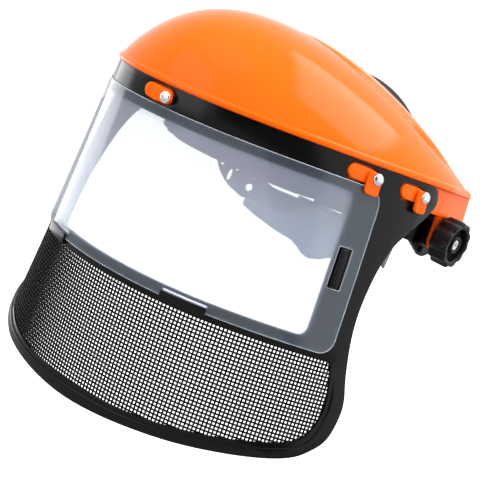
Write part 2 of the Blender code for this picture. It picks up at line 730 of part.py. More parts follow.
def make_headgear():
    body = ring_strip("forehead_band", -BAND_END, BAND_END, 40, band_bottom, band_top, (0.0, BAND_THICK))
    smooth(body)
    finish_material(body, DARK, 0.4)
    pad_end = math.radians(68)
    pad = ring_strip("brow_pad", -pad_end, pad_end, 28, lambda a: band_bottom(a) + 0.002,
                     lambda a: band_top(a) - 0.002, (-GAP - PAD_THICK, -GAP))
    smooth(pad)
    finish_material(pad, GREY, 0.9)
    make_rear_bands()
    make_nape_adjuster()
    make_top_strap()


def rear_side(angle):
    """The angle measured from the front whichever side it is on."""
    return abs(angle)


def arm_top(angle):
    return 0.006 + (REAR_TOP - 0.006) * ease(abs(angle), math.radians(98), math.radians(135))


def arm_bottom(angle):
    """The arm widens quickly behind the pivots."""
    return float(np.interp(math.degrees(abs(angle)), (93, 95, 99, 102.6, 108.4, 117.2, 126, 134, 144),
                           (-0.0145, -0.0184, -0.0250, -0.0295, -0.0350, -0.0392, -0.0402, -0.0412, REAR_BOTTOM)))


def make_rear_bands():
    root = BAND_END + 0.0036
    wide_end = math.radians(152)
    rack_end = math.radians(192)
    for side, name in ((1, "left"), (-1, "right")):
        upper = side > 0

        def bottom(angle):
            low = arm_bottom(angle)
            rack = REAR_TOP - RACK_HEIGHT if upper else REAR_BOTTOM
            return low + (rack - low) * ease(abs(angle), wide_end, wide_end + 0.10)

        def top(angle):
            high = arm_top(angle)
            rack = REAR_TOP if upper else REAR_BOTTOM + RACK_HEIGHT
            return high + (rack - high) * ease(abs(angle), wide_end, wide_end + 0.10)

        body = ring_strip("rear_band_" + name, side * root, side * rack_end, 44, bottom, top, (0.0, BAND_THICK - 0.0004))
        for angle, z, wide, tall in ((99.6, -0.0190, 0.0024, 0.0024), (109.7, -0.0196, 0.0026, 0.0022),
                                     (106.5, -0.0268, 0.0022, 0.0046), (120, -0.0310, 0.0032, 0.0028)):
            centre = ring_point(side * math.radians(angle), z, 0.0)
            normal = ring_point(side * math.radians(angle), z, 1.0) - centre
            level = Vector((-normal.y, normal.x, 0))
            outline = [(wide * u, tall * v) for u, v in arc((0, 0), 1.0, 0, 337.5, 15)]
            hole = prism("hole", outline, -0.01, 0.01,
                         lambda u, v, w: centre + level * u + Vector((0, 0, v)) + normal * w)
            combine(body, [hole], "DIFFERENCE")
        smooth(body)
        set_origin(body, Vector((side * RING_HALF_WIDTH, ARM_ROOT_Y, 0)))
        finish_material(body, DARK, 0.4)


def on_nape(u, v, w):
    """Local axes behind the head: u to the wearer's left, v up, w to the rear."""
    return Vector((u, RING_CENTRE_Y + RING_REAR_LENGTH + w, v))


def make_nape_adjuster():
    half = math.radians(33)
    start, end = math.pi - half, math.pi + half
    low, high = REAR_BOTTOM - 0.0023, REAR_TOP + 0.0023
    base = ring_strip("ratchet_housing", start, end, 20, lambda a: low, lambda a: high, (-0.0036, -0.0016))
    smooth(base)
    finish_material(base, DARK, 0.4)
    inside, face = 0.0036, 0.0056
    section = [(low, -0.0012), (low, face), (high, face), (high, -0.0012),
               (high - 0.002, -0.0012), (high - 0.002, inside), (low + 0.002, inside), (low + 0.002, -0.0012)]
    cover = ring_sweep("ratchet_cover", start, end, 20, section)
    shaft = turned("shaft", [(0.0, -0.01), (0.0045, -0.01), (0.0045, 0.02), (0.0, 0.02)],
                   lambda u, v, w: on_nape(u, v + PINION_Z, w), 20)
    combine(cover, [shaft], "DIFFERENCE")
    smooth(cover)
    finish_material(cover, DARK, 0.35)
    make_ratchet_wheel()
    make_nape_pad()


def make_ratchet_wheel():
    centred = lambda u, v, w: on_nape(u, v + PINION_Z, w)
    teeth = []
    for k in range(40):
        angle = 2 * math.pi * k / 40
        radius = PINION_TIP if k % 4 < 2 else PINION_ROOT
        teeth.append((radius * math.cos(angle), radius * math.sin(angle)))
    pinion = prism("drive_pinion", teeth, -0.0012, 0.0072, centred)
    set_origin(pinion, centred(0, 0, 0))
    finish_material(pinion, GREY, 0.4)
    outline = []
    for k in range(72):
        angle = 2 * math.pi * k / 72
        radius = RATCHET_KNOB_RADIUS + 0.0006 * math.cos(12 * angle)
        outline.append((radius * math.cos(angle), radius * math.sin(angle)))
    knob = prism("ratchet_knob", outline, 0.0078, 0.0190, centred)
    dish = turned("dish", [(0.0, 0.0165), (0.0135, 0.0165), (0.0135, 0.03), (0.0, 0.03)], centred, 32)
    combine(knob, [dish], "DIFFERENCE")
    smooth(knob)
    set_origin(knob, centred(0, 0, 0.0078))
    finish_material(knob, DARK, 0.35)


def make_nape_pad():
    """A pad on the head side of the adjuster: narrow at its ends, with a lobe on each side of the middle."""
    half = math.radians(61.5)
    stations = (118.5, 126.9, 140.9, 152.0, 157.0, 161.0, 166.3, 172.8, 180.0)
    lower = (-0.0446, -0.0491, -0.0544, -0.0565, -0.0595, -0.0632, -0.0645, -0.0618, -0.0560)
    upper_at = (118.5, 144.0, 149.0, 153.0, 180.0)
    upper = (-0.0395, -0.0410, -0.0330, -0.0262, -0.0262)

    def from_front(angle):
        return 180 - abs(math.degrees(angle) - 180)

    body = ring_strip("nape_pad", math.pi - half, math.pi + half, 48,
                      lambda a: float(np.interp(from_front(a), stations, lower)),
                      lambda a: float(np.interp(from_front(a), upper_at, upper)), (-0.0084, -0.0039))
    smooth(body)
    finish_material(body, GREY, 0.9)


def strap_point(angle, y, out):
    """The strap is an arch over the head; the angle runs from the wearer's left, over the top."""
    x = STRAP_HALF * math.cos(angle)
    z = STRAP_RISE * math.sin(angle)
    normal = Vector((math.cos(angle) / STRAP_HALF, 0, math.sin(angle) / STRAP_RISE)).normalized()
    return Vector((x, y, z)) + normal * out


def make_top_strap():
    low, high = STRAP_Y - STRAP_WIDTH / 2, STRAP_Y + STRAP_WIDTH / 2
    spans = {"top_strap_left": (math.radians(-5), math.radians(112), -STRAP_THICK),
             "top_strap_right": (math.radians(185), math.radians(76), -2 * STRAP_THICK - GAP)}
    for name, (start, end, out) in spans.items():
        angles = [start + (end - start) * k / 26 for k in range(27)]
        outer = [[strap_point(a, y, out + STRAP_THICK) for y in (low, high)] for a in angles]
        inner = [[strap_point(a, y, out) for y in (low, high)] for a in angles]
        body = grid_solid(name, outer, inner)
        for k in range(5):
            angle = math.radians(80 + 6.5 * k)
            hole = strap_prism(angle, 0.0024, (-0.006, 0.004))
            combine(body, [hole], "DIFFERENCE")
        smooth(body)
        finish_material(body, BLACK, 0.4)
    peg = strap_prism(math.radians(93), 0.0020, (-2 * STRAP_THICK - GAP - 0.0008, 0.0008))
    peg.name = "strap_peg"
    head = strap_prism(math.radians(93), 0.0042, (GAP, 0.0018))
    combine(peg, [head], "UNION")
    smooth(peg)
    finish_material(peg, BLACK, 0.35)


def strap_prism(angle, radius, out):
    centre = strap_point(angle, STRAP_Y, 0.0)
    normal = strap_point(angle, STRAP_Y, 1.0) - centre
    level = Vector((normal.z, 0, -normal.x))
    return prism("hole", arc((0, 0), radius, 0, 330, 11), out[0], out[1],
                 lambda u, v, w: centre + level * u + Vector((0, v, 0)) + normal * w)


def main():
    clear_scene()
    make_visor_frame()
    make_clear_window()
    make_mesh_panel()
    make_crown_shell()
    make_turn_keys()
    make_pivots()
    make_headgear()


main()
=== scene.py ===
"""Looks of the forestry browguard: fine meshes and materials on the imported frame.

Metres, +X the wearer's left, -Y forward, +Z up, origin midway between the side pivots.
A place on the visor wall is (s, z, out): along the wall from the middle of the front, height,
and distance outward from the outer face of the visor frame.
"""
import math

import bmesh
import bpy
import numpy as np
from mathutils import Matrix, Vector

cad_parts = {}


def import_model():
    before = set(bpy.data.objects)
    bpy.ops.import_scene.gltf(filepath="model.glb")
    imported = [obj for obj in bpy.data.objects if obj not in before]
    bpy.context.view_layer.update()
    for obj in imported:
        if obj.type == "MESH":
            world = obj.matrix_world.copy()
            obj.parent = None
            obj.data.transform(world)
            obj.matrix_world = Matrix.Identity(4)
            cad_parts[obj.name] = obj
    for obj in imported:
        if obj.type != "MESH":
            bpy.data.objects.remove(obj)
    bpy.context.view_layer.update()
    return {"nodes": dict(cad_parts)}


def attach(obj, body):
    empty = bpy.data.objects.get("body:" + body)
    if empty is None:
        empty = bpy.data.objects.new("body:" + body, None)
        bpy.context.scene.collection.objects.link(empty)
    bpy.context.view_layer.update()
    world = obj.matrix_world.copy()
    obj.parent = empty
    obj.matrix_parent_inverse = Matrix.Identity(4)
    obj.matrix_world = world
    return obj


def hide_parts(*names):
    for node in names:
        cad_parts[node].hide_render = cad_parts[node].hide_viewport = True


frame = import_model()

# ---------------------------------------------------------------- dimensions, mostly those of the CAD
FRONT_Y, FRONT_RADIUS, FRONT_ARC = -0.188, 0.090, 0.070
SIDE_RADIUS, SIDE_ARC, WALL_END = 0.190, 0.175, 0.330
BROW_Z, BROW_DIP, FLARE_X, TUCK_Y = 0.0315, 0.0017, 1.41, 0.655
FRAME_THICK, FRAME_TOP = 0.0022, 0.0312
WINDOW_HALF, WINDOW_TOP, WINDOW_BOTTOM, WINDOW_CORNER = 0.1395, 0.0113, -0.0825, 0.006
MESH_TOP, WIRE_PITCH = -0.0930, (0.00260, 0.00252)
RIM_OUT, RIM_INSET, RIM_SINK, RIM_TAPER_Z = (-0.001, 0.0011), 0.0030, 0.0016, (-0.0945, -0.1180)
SHEET_HALF, SHEET_TOP, SHEET_BOTTOM = 0.1603, 0.0178, -0.0895
SHEET_CORNER_TOP, SHEET_CORNER_BOTTOM, SHEET_OUT = 0.012, 0.010, (0.0003, 0.0013)
SIDE_SLOT_S, SIDE_SLOT_Z = (0.1412, 0.1510), (-0.0490, -0.0222)
SIDE_TAB_S, SIDE_TAB_Z, SIDE_TAB_RISE = (0.1422, 0.1465), (-0.0482, -0.0230), 0.0042
HOOK_S, HOOK_Z, HOOK_CORE_Z = (0.0440, 0.0742), (-0.0925, -0.0860), (-0.0860, -0.0845)
KEY_Z = {"front": 0.0245, "left_front": 0.0238, "left_rear": 0.0224,
         "right_front": 0.0238, "right_rear": 0.0224}
KEY_STATIONS = {"front": -0.0013, "left_front": 0.1407, "left_rear": 0.1855,
                "right_front": -0.1407, "right_rear": -0.1855}
BOSS_LENGTH, BOSS_HEIGHT, BOSS_OUT, SLOT_CLEARANCE = 0.0224, 0.0092, 0.0013, 0.0010
RIVET_OFFSET, RIVET_SHANK, RIVET_HEAD, RIVET_HEAD_HEIGHT, RIVET_DEPTH = 0.0096, 0.0020, 0.0038, 0.0015, 0.0050
KEY_BOTTOM, KEY_THICK = 0.0017, 0.0025
KEY_REACH, KEY_AHEAD, KEY_BEHIND, KEY_NECK = 0.0107, 0.0067, 0.0038, 0.0040
CROWN_THICK, CROWN_HEIGHT, CROWN_PEAK_Y = 0.0025, 0.0594, -0.0986
CROWN_PROFILE, CROWN_SECTION, CROWN_OVERHANG = 2.4, 1.6, 0.0008
CROWN_REAR_LOW_Y, CROWN_REAR_TOP_Y, CROWN_REAR_CURVE, CROWN_FALL = 0.0322, -0.052, 0.87, 22.2
LIP_RISE, GROOVE_DEPTH, REAR_DIP, CORNER_INSET = 0.0007, 0.0022, 0.0030, 0.0013
BEAD_Z = (0.0317, 0.0362)
SKIRT_OUT, SKIRT_BOTTOM, SKIRT_END = (-0.0050, -0.0025), 0.0140, 0.2805
BEAD_END, BEAD_FADE = 0.2770, (0.228, 0.272, 0.0036)   # where the bead starts and stops sinking, and how far
EAR_X, EAR_RADIUS, EAR_SHOULDER, EAR_BORE = (0.1144, 0.1172), 0.0104, 0.0128, 0.0036
PLATE_X, PLATE_RADIUS, PLATE_HUB = (0.1078, 0.1108), 0.0170, (0.0085, 0.1141)
PLATE_STUD = (-0.0045, -0.0125, 0.0024, 0.1125)
KNOB_X, SCREW_END = (0.1195, 0.1328), 0.1312
RING_HALF_WIDTH, RING_FRONT, RING_REAR, RING_CENTRE_Y, BAND_THICK = 0.078, 0.110, 0.094, -0.010, 0.0020
BAND_END, BAND_BOTTOM, BAND_TOP = 93, (-0.0085, -0.0060), (0.0240, 0.0120)
PAD_THICK, PAD_GAP = 0.0045, 0.0003
PER_RADIAN = 0.1   # flat length per radian, on the head ring and on the strap arch
REAR_TOP, REAR_BOTTOM, RACK_HEIGHT, PINION_Z = -0.0245, -0.0435, 0.0050, -0.0340
STRAP_Y, STRAP_WIDTH, STRAP_THICK, STRAP_HALF, STRAP_RISE = 0.0115, 0.018, 0.0016, 0.0836, 0.0845


def ease(value, start, end):
    """A smooth step from 0 at start to 1 at end."""
    t = np.clip((value - start) / (end - start), 0.0, 1.0)
    return t * t * (3 - 2 * t)


# ---------------------------------------------------------------- the visor wall
def wall_table():
    """Outline of the wall at each level: point and direction for each 0.5 mm along it."""
    run = np.linspace(0.0, WALL_END, 661)
    turn = FRONT_ARC / FRONT_RADIUS
    first = np.minimum(run, FRONT_ARC) / FRONT_RADIUS
    second = turn + np.clip(run - FRONT_ARC, 0, SIDE_ARC) / SIDE_RADIUS
    rest = np.maximum(run - FRONT_ARC - SIDE_ARC, 0)
    x = FRONT_RADIUS * np.sin(first) + SIDE_RADIUS * (np.sin(second) - math.sin(turn))
    x = x + rest * math.cos(second[-1])
    y = FRONT_Y + FRONT_RADIUS * (1 - np.cos(first)) + SIDE_RADIUS * (math.cos(turn) - np.cos(second))
    y = y + rest * math.sin(second[-1])
    levels = np.arange(-0.200, 0.052, 0.002)
    table = np.zeros((len(levels), 661, 4))
    for k, z in enumerate(levels):
        px, py = x * (1 + FLARE_X * (BROW_Z - z)), y * (1 - TUCK_Y * (BROW_Z - z))
        length = np.concatenate([[0.0], np.cumsum(np.hypot(np.diff(px), np.diff(py)))])
        table[k, :, 0], table[k, :, 1] = np.interp(run, length, px), np.interp(run, length, py)
        slope_x, slope_y = np.gradient(table[k, :, 0]), np.gradient(table[k, :, 1])
        size = np.hypot(slope_x, slope_y) + 1e-12
        table[k, :, 2], table[k, :, 3] = slope_x / size, slope_y / size
        table[k, 0, 2:] = (1.0, 0.0)
    return x, y, levels, table


PLAN_X, PLAN_Y, LEVELS, WALL = wall_table()


def wall(s, z, out):
    """Points on the wall for arrays of s, z and out."""
    s, z, out = (np.asarray(a, float) for a in np.broadcast_arrays(s, z, out))
    column = np.clip(np.abs(s) / 0.0005, 0, 659.999)
    row = np.clip((z - LEVELS[0]) / 0.002, 0, len(LEVELS) - 1.001)
    i, j = row.astype(int), column.astype(int)
    u, v = (row - i)[..., None], (column - j)[..., None]
    low = WALL[i, j] * (1 - v) + WALL[i, j + 1] * v
    high = WALL[i + 1, j] * (1 - v) + WALL[i + 1, j + 1] * v
    value = low * (1 - u) + high * u
    x, y, tx, ty = np.moveaxis(value, -1, 0)
    side = np.where(s < 0, -1.0, 1.0)
    return np.stack([side * (x + ty * out), y - tx * out, z - BROW_DIP * (y / 0.1) ** 2], -1)


def wall_bend(points):
    """From flat (s, -out, z) to the wall."""
    return wall(points[:, 0], points[:, 2], -points[:, 1])


def station_matrix(station):
    """Axes at a key: x to the rear along the wall, y outward, z up the wall."""
    s = KEY_STATIONS[station]
    level = KEY_Z[station]
    step = 0.001 if s > -0.01 else -0.001
    along = Vector(wall(s + step, level, 0)) - Vector(wall(s - step, level, 0))
    along = Vector((along.x, along.y, 0)).normalized()
    up = (Vector(wall(s, level + 0.005, 0)) - Vector(wall(s, level - 0.005, 0))).normalized()
    out = along.cross(up).normalized()
    if out.dot(Vector(wall(s, level, 0.01)) - Vector(wall(s, level, 0))) < 0:
        out = -out
    columns = [along, out, up, Vector(wall(s, level, 0))]
    return Matrix([[column[row] for column in columns] for row in range(3)] + [[0, 0, 0, 1]])


def on_station(station):
    """From flat (u, -w, v), with w outward, to the place of a key."""
    matrix = np.array(station_matrix(station))

    def place(points):
        local = np.stack([points[:, 0], -points[:, 1], points[:, 2]], -1)
        return local @ matrix[:3, :3].T + matrix[:3, 3]
    return place


def beside(side):
    """From flat (y, -x, z) to the side of the head."""
    return lambda points: np.stack([side * -points[:, 1], points[:, 0], points[:, 2]], -1)


# ---------------------------------------------------------------- outlines
def arc(centre, radius, start, end, steps):
    """Points on an arc; the angles are in degrees."""
    angles = np.radians(np.linspace(start, end, steps + 1))
    return [(centre[0] + radius * math.cos(a), centre[1] + radius * math.sin(a)) for a in angles]


def rounded_box(u0, u1, v0, v1, low, high, steps=8):
    """A box with corner radius low at the bottom and high at the top."""
    points = arc((u1 - low, v0 + low), low, -90, 0, steps) + arc((u1 - high, v1 - high), high, 0, 90, steps)
    points += arc((u0 + high, v1 - high), high, 90, 180, steps)
    return points + arc((u0 + low, v0 + low), low, 180, 270, steps)


def obround(centre, length, height, steps=16):
    reach = (length - height) / 2
    right = arc((centre[0] + reach, centre[1]), height / 2, -90, 90, steps)
    return right + arc((centre[0] - reach, centre[1]), height / 2, 90, 270, steps)


def circle(centre, radius, steps=32):
    return arc(centre, radius, 0, 360 - 360 / steps, steps - 1)


def spline(points, steps):
    """A smooth curve through points that end on the middle line and cross it level."""
    last = (-points[-2][0], points[-2][1])
    ends = [np.array(p) for p in [points[0], *points, last]]
    curve = []
    for k in range(1, len(ends) - 2):
        p0, p1, p2, p3 = ends[k - 1:k + 3]
        for t in np.arange(steps) / steps:
            value = 2 * p1 + (p2 - p0) * t + (2 * p0 - 5 * p1 + 4 * p2 - p3) * t * t
            curve.append(tuple((value + (3 * p1 - p0 - 3 * p2 + p3) * t ** 3) / 2))
    return curve + [tuple(points[-1])]


def mirrored(half):
    """A whole outline from its half on the wearer's left, which starts and ends on the middle line."""
    return half + [(-u, v) for u, v in reversed(half)][1:-1]


def frame_outline():
    shape = [(0.0, FRAME_TOP), (0.207, FRAME_TOP)]
    shape += arc((0.2085, FRAME_TOP - 0.0085), 0.0085, 90, -45, 14)[1:]
    rear = [(0.2070, 0.0095), (0.1930, -0.0030), (0.1835, -0.0140), (0.1760, -0.0320), (0.1722, -0.0550),
            (0.1728, -0.0750), (0.1770, -0.0960), (0.1820, -0.1130), (0.1828, -0.1250), (0.1790, -0.1400),
            (0.1700, -0.1500), (0.1540, -0.1590), (0.1200, -0.1670), (0.0700, -0.1745), (0.0, -0.1800)]
    return mirrored(shape + spline(rear, 8))


def mesh_outline(grow=0.0):
    shape = [(0.0, MESH_TOP + grow), (0.1590 + grow, MESH_TOP + grow)]
    rear = [(0.1640 + grow, MESH_TOP - 0.0030), (0.1690 + grow, -0.1150), (0.1690 + grow, -0.1280),
            (0.1620 + grow, -0.1430 - grow), (0.1440, -0.1518 - grow), (0.1000, -0.1612 - grow),
            (0.0500, -0.1675 - grow), (0.0, -0.1692 - grow)]
    return mirrored(shape + spline(rear, 8))


# ---------------------------------------------------------------- mesh building
def new_object(name, bm, material, sharp=40):
    mesh = bpy.data.meshes.new(name)
    bm.to_mesh(mesh)
    bm.free()
    mesh.shade_smooth()
    mesh.set_sharp_from_angle(angle=math.radians(sharp))
    obj = bpy.data.objects.new(name, mesh)
    bpy.context.scene.collection.objects.link(obj)
    mesh.materials.append(material)
    return obj


def loop_edges(bm, outline):
    """The edges of a closed flat outline."""
    verts = [bm.verts.new((u, 0.0, v)) for u, v in outline]
    return [bm.edges.new((verts[k], verts[(k + 1) % len(verts)])) for k in range(len(verts))]


def plate(outline, holes, out, bevel, strip=None, place=wall_bend, segments=3, cross=None,
          edge_material=False):
    """A flat plate with holes and rounded edges, cut into strips and bent into place."""
    bm = bmesh.new()
    edges = loop_edges(bm, outline)
    for hole in holes:
        edges += loop_edges(bm, hole)
    bmesh.ops.triangle_fill(bm, use_beauty=True, use_dissolve=False, edges=edges)
    bmesh.ops.dissolve_limit(bm, angle_limit=0.001, verts=[], edges=bm.edges)
    top = bm.faces[:]
    grown = bmesh.ops.extrude_face_region(bm, geom=top)
    moved = [v for v in grown["geom"] if isinstance(v, bmesh.types.BMVert)]
    still = [v for v in bm.verts if v not in set(moved)]
    for v in moved:
        v.co.y = -out[0]
    for v in still:
        v.co.y = -out[1]
    bmesh.ops.recalc_face_normals(bm, faces=bm.faces)
    if bevel > 0:
        rim = [e for e in bm.edges if len(e.link_faces) == 2 and e.calc_face_angle(0) > 0.9
               and abs(e.verts[0].co.y - e.verts[1].co.y) < 1e-7]
        bmesh.ops.bevel(bm, geom=rim, offset=bevel, segments=segments, profile=0.5, affect="EDGES",
                        clamp_overlap=True)
    if edge_material:
        bm.normal_update()
        for face in bm.faces:
            face.material_index = 1 if abs(face.normal.y) < 0.75 else 0
    us = [v.co.x for v in bm.verts]
    vs = [v.co.z for v in bm.verts]
    if strip:
        for cut in np.arange(math.ceil(min(us) / strip) * strip, max(us), strip):
            bisect(bm, Vector((cut, 0, 0)), Vector((1, 0, 0)))
    if cross:
        for cut in np.arange(math.ceil(min(vs) / cross) * cross, max(vs), cross):
            bisect(bm, Vector((0, 0, cut)), Vector((0, 0, 1)))
    bmesh.ops.triangulate(bm, faces=[f for f in bm.faces if len(f.verts) > 4])
    points = np.array([v.co for v in bm.verts])
    for vert, point in zip(bm.verts, place(points)):
        vert.co = point
    bmesh.ops.recalc_face_normals(bm, faces=bm.faces)
    return bm


def bisect(bm, point, normal):
    bmesh.ops.bisect_plane(bm, geom=bm.verts[:] + bm.edges[:] + bm.faces[:], dist=1e-6,
                           plane_co=point, plane_no=normal)


def merged(parts):
    """Several meshes as one; the parts are freed."""
    whole = bmesh.new()
    for part in parts:
        mesh = bpy.data.meshes.new("part")
        part.to_mesh(mesh)
        part.free()
        whole.from_mesh(mesh)
        bpy.data.meshes.remove(mesh)
    return whole


def grid_shell(outer, inner):
    """A closed shell between two equal grids of points, given as arrays of rows."""
    rows, cols = outer.shape[:2]
    bm = bmesh.new()
    verts = [bm.verts.new(p) for p in np.concatenate([outer.reshape(-1, 3), inner.reshape(-1, 3)])]
    half = rows * cols
    for i in range(rows - 1):
        for j in range(cols - 1):
            a, b, c, d = i * cols + j, i * cols + j + 1, (i + 1) * cols + j + 1, (i + 1) * cols + j
            bm.faces.new([verts[k] for k in (a, b, c, d)])
            bm.faces.new([verts[half + k] for k in (d, c, b, a)])
    border = list(range(cols)) + [i * cols + cols - 1 for i in range(1, rows)]
    border += [(rows - 1) * cols + j for j in range(cols - 2, -1, -1)]
    border += [i * cols for i in range(rows - 2, 0, -1)]
    for k, a in enumerate(border):
        b = border[(k + 1) % len(border)]
        bm.faces.new([verts[n] for n in (b, a, half + a, half + b)])
    bmesh.ops.remove_doubles(bm, verts=bm.verts, dist=2e-6)
    bmesh.ops.dissolve_degenerate(bm, edges=bm.edges, dist=1e-6)
    bmesh.ops.recalc_face_normals(bm, faces=bm.faces)
    return bm


def tube(rows):
    """A closed tube through equal rings of points, with flat ends."""
    bm = bmesh.new()
    rings = [[bm.verts.new(p) for p in row] for row in rows]
    count = len(rings[0])
    for k in range(len(rings) - 1):
        for j in range(count):
            m = (j + 1) % count
            bm.faces.new((rings[k][j], rings[k][m], rings[k + 1][m], rings[k + 1][j]))
    bm.faces.new(rings[0])
    bm.faces.new(rings[-1][::-1])
    bmesh.ops.recalc_face_normals(bm, faces=bm.faces)
    return bm


def turned(profile, place, segments=64, shape=None):
    """A closed profile of (radius, along) turned round; shape(radius, angle) may change the radius."""
    bm = bmesh.new()
    rings = []
    for k in range(segments):
        angle = 2 * math.pi * k / segments
        ring = []
        for radius, along in profile:
            r = shape(radius, angle) if shape else radius
            ring.append(bm.verts.new(place(r * math.cos(angle), r * math.sin(angle), along)))
        rings.append(ring)
    count = len(profile)
    for k in range(segments):
        n = (k + 1) % segments
        for j in range(count):
            m = (j + 1) % count
            if max(profile[j][0], profile[m][0]) > 0:
                bm.faces.new((rings[k][j], rings[k][m], rings[n][m], rings[n][j]))
    bmesh.ops.remove_doubles(bm, verts=bm.verts, dist=1e-7)
    bmesh.ops.dissolve_degenerate(bm, edges=bm.edges, dist=1e-7)
    bmesh.ops.recalc_face_normals(bm, faces=bm.faces)
    return bm


def on_axis(side):
    """From a turned profile to the pivot axis, with its length outward."""
    return lambda u, v, w: Vector((side * w, u, v))


# ---------------------------------------------------------------- materials
def nodes_of(material):
    material.use_nodes = True
    return material.node_tree.nodes, material.node_tree.links


def add(nodes, kind, values=None, **settings):
    """A shader node with the given settings and input values."""
    node = nodes.new("ShaderNode" + kind)
    for key, value in settings.items():
        setattr(node, key, value)
    for key, value in (values or {}).items():
        node.inputs[key].default_value = value
    return node


def shade(colour, amount):
    """A colour made darker or lighter, with its alpha."""
    return (*[min(c * amount, 1) for c in colour], 1)


def noise(nodes, links, scale, detail):
    """Noise fixed to the object."""
    place = add(nodes, "TexCoord")
    cloud = add(nodes, "TexNoise", {"Scale": scale, "Detail": detail})
    links.new(place.outputs["Object"], cloud.inputs["Vector"])
    return cloud.outputs["Fac"]


def blend(nodes, links, factor, start, end):
    """A colour from start to end, with the factor."""
    tint = add(nodes, "Mix", {"A": start, "B": end}, data_type="RGBA")
    links.new(factor, tint.inputs["Factor"])
    return tint.outputs["Result"]


def spread(nodes, links, factor, start, end):
    """A value from start to end, with the factor."""
    value = add(nodes, "MapRange", {"To Min": start, "To Max": end})
    links.new(factor, value.inputs["Value"])
    return value.outputs["Result"]


def mixed(nodes, links, factor, start, end):
    """A shader from start to end, with the factor."""
    mix = add(nodes, "MixShader")
    links.new(factor, mix.inputs["Fac"])
    links.new(start, mix.inputs[1])
    links.new(end, mix.inputs[2])
    return mix.outputs["Shader"]


def bumped(nodes, links, height, values):
    """Joins a bump of the given height to the main shader."""
    bump = add(nodes, "Bump", values)
    links.new(height, bump.inputs["Height"])
    links.new(bump.outputs["Normal"], nodes["Principled BSDF"].inputs["Normal"])


def plastic(name, colour, roughness, grain=0.00006, mottle=0.06, specular=0.5):
    """Moulded plastic: faint mottling, uneven gloss and a fine skin texture."""
    material = bpy.data.materials.new(name)
    nodes, links = nodes_of(material)
    shader = nodes["Principled BSDF"]
    shader.inputs["Specular IOR Level"].default_value = specular
    cloud = noise(nodes, links, 26.0, 4.0)
    tint = blend(nodes, links, cloud, shade(colour, 1 - mottle), shade(colour, 1 + mottle))
    links.new(tint, shader.inputs["Base Color"])
    gloss = spread(nodes, links, cloud, roughness * 0.88, roughness * 1.16)
    links.new(gloss, shader.inputs["Roughness"])
    bumped(nodes, links, noise(nodes, links, 900.0, 2.0), {"Strength": 0.35, "Distance": grain})
    return material


def metal(name, colour, roughness):
    """Turned and polished metal with faint tool marks."""
    material = bpy.data.materials.new(name)
    nodes, links = nodes_of(material)
    shader = nodes["Principled BSDF"]
    shader.inputs["Metallic"].default_value = 1.0
    marks = noise(nodes, links, 420.0, 5.0)
    links.new(blend(nodes, links, marks, shade(colour, 0.86), shade(colour, 1)), shader.inputs["Base Color"])
    links.new(spread(nodes, links, marks, roughness * 0.7, roughness * 1.4), shader.inputs["Roughness"])
    return material


def foam(name, colour):
    """Soft woven facing over foam."""
    material = bpy.data.materials.new(name)
    nodes, links = nodes_of(material)
    shader = nodes["Principled BSDF"]
    shader.inputs["Roughness"].default_value = 0.92
    shader.inputs["Sheen Weight"].default_value = 0.25
    place = add(nodes, "TexCoord")
    weave = add(nodes, "Math", operation="MULTIPLY")
    for slot, direction in enumerate("XZ"):
        wave = add(nodes, "TexWave", {"Scale": 260.0, "Distortion": 0.6}, bands_direction=direction)
        links.new(place.outputs["Object"], wave.inputs["Vector"])
        links.new(wave.outputs["Fac"], weave.inputs[slot])
    height = weave.outputs["Value"]
    tint = blend(nodes, links, height, shade(colour, 0.6), shade(colour, 1.15))
    links.new(tint, shader.inputs["Base Color"])
    bumped(nodes, links, height, {"Distance": 0.0004})
    return material


def clear_sheet(name):
    """Clear sheet: sees through, scatters a little bluish light, and reflects more at a slant."""
    material = bpy.data.materials.new(name)
    nodes, links = nodes_of(material)
    nodes.remove(nodes["Principled BSDF"])
    through = add(nodes, "BsdfTransparent", {"Color": (0.965, 0.98, 0.99, 1)})
    glow = add(nodes, "BsdfTranslucent", {"Color": HAZE_COLOUR})
    bloom = add(nodes, "BsdfDiffuse", {"Color": HAZE_COLOUR})
    haze = add(nodes, "MixShader", {"Fac": 0.07})
    links.new(glow.outputs["BSDF"], haze.inputs[1])
    links.new(bloom.outputs["BSDF"], haze.inputs[2])
    milk = spread(nodes, links, noise(nodes, links, 14.0, 3.0), 0.30, 0.36)
    body = mixed(nodes, links, milk, through.outputs["BSDF"], haze.outputs["Shader"])
    slant = add(nodes, "LayerWeight", {"Blend": 0.5})
    power = add(nodes, "Math", {1: 5.0}, operation="POWER")
    links.new(slant.outputs["Facing"], power.inputs[0])
    amount = add(nodes, "Math", {1: 0.9, 2: 0.045}, operation="MULTIPLY_ADD")
    links.new(power.outputs["Value"], amount.inputs[0])
    mirror = add(nodes, "BsdfGlossy", {"Roughness": 0.05})
    whole = mixed(nodes, links, amount.outputs["Value"], body, mirror.outputs["BSDF"])
    links.new(whole, nodes["Material Output"].inputs["Surface"])
    return material


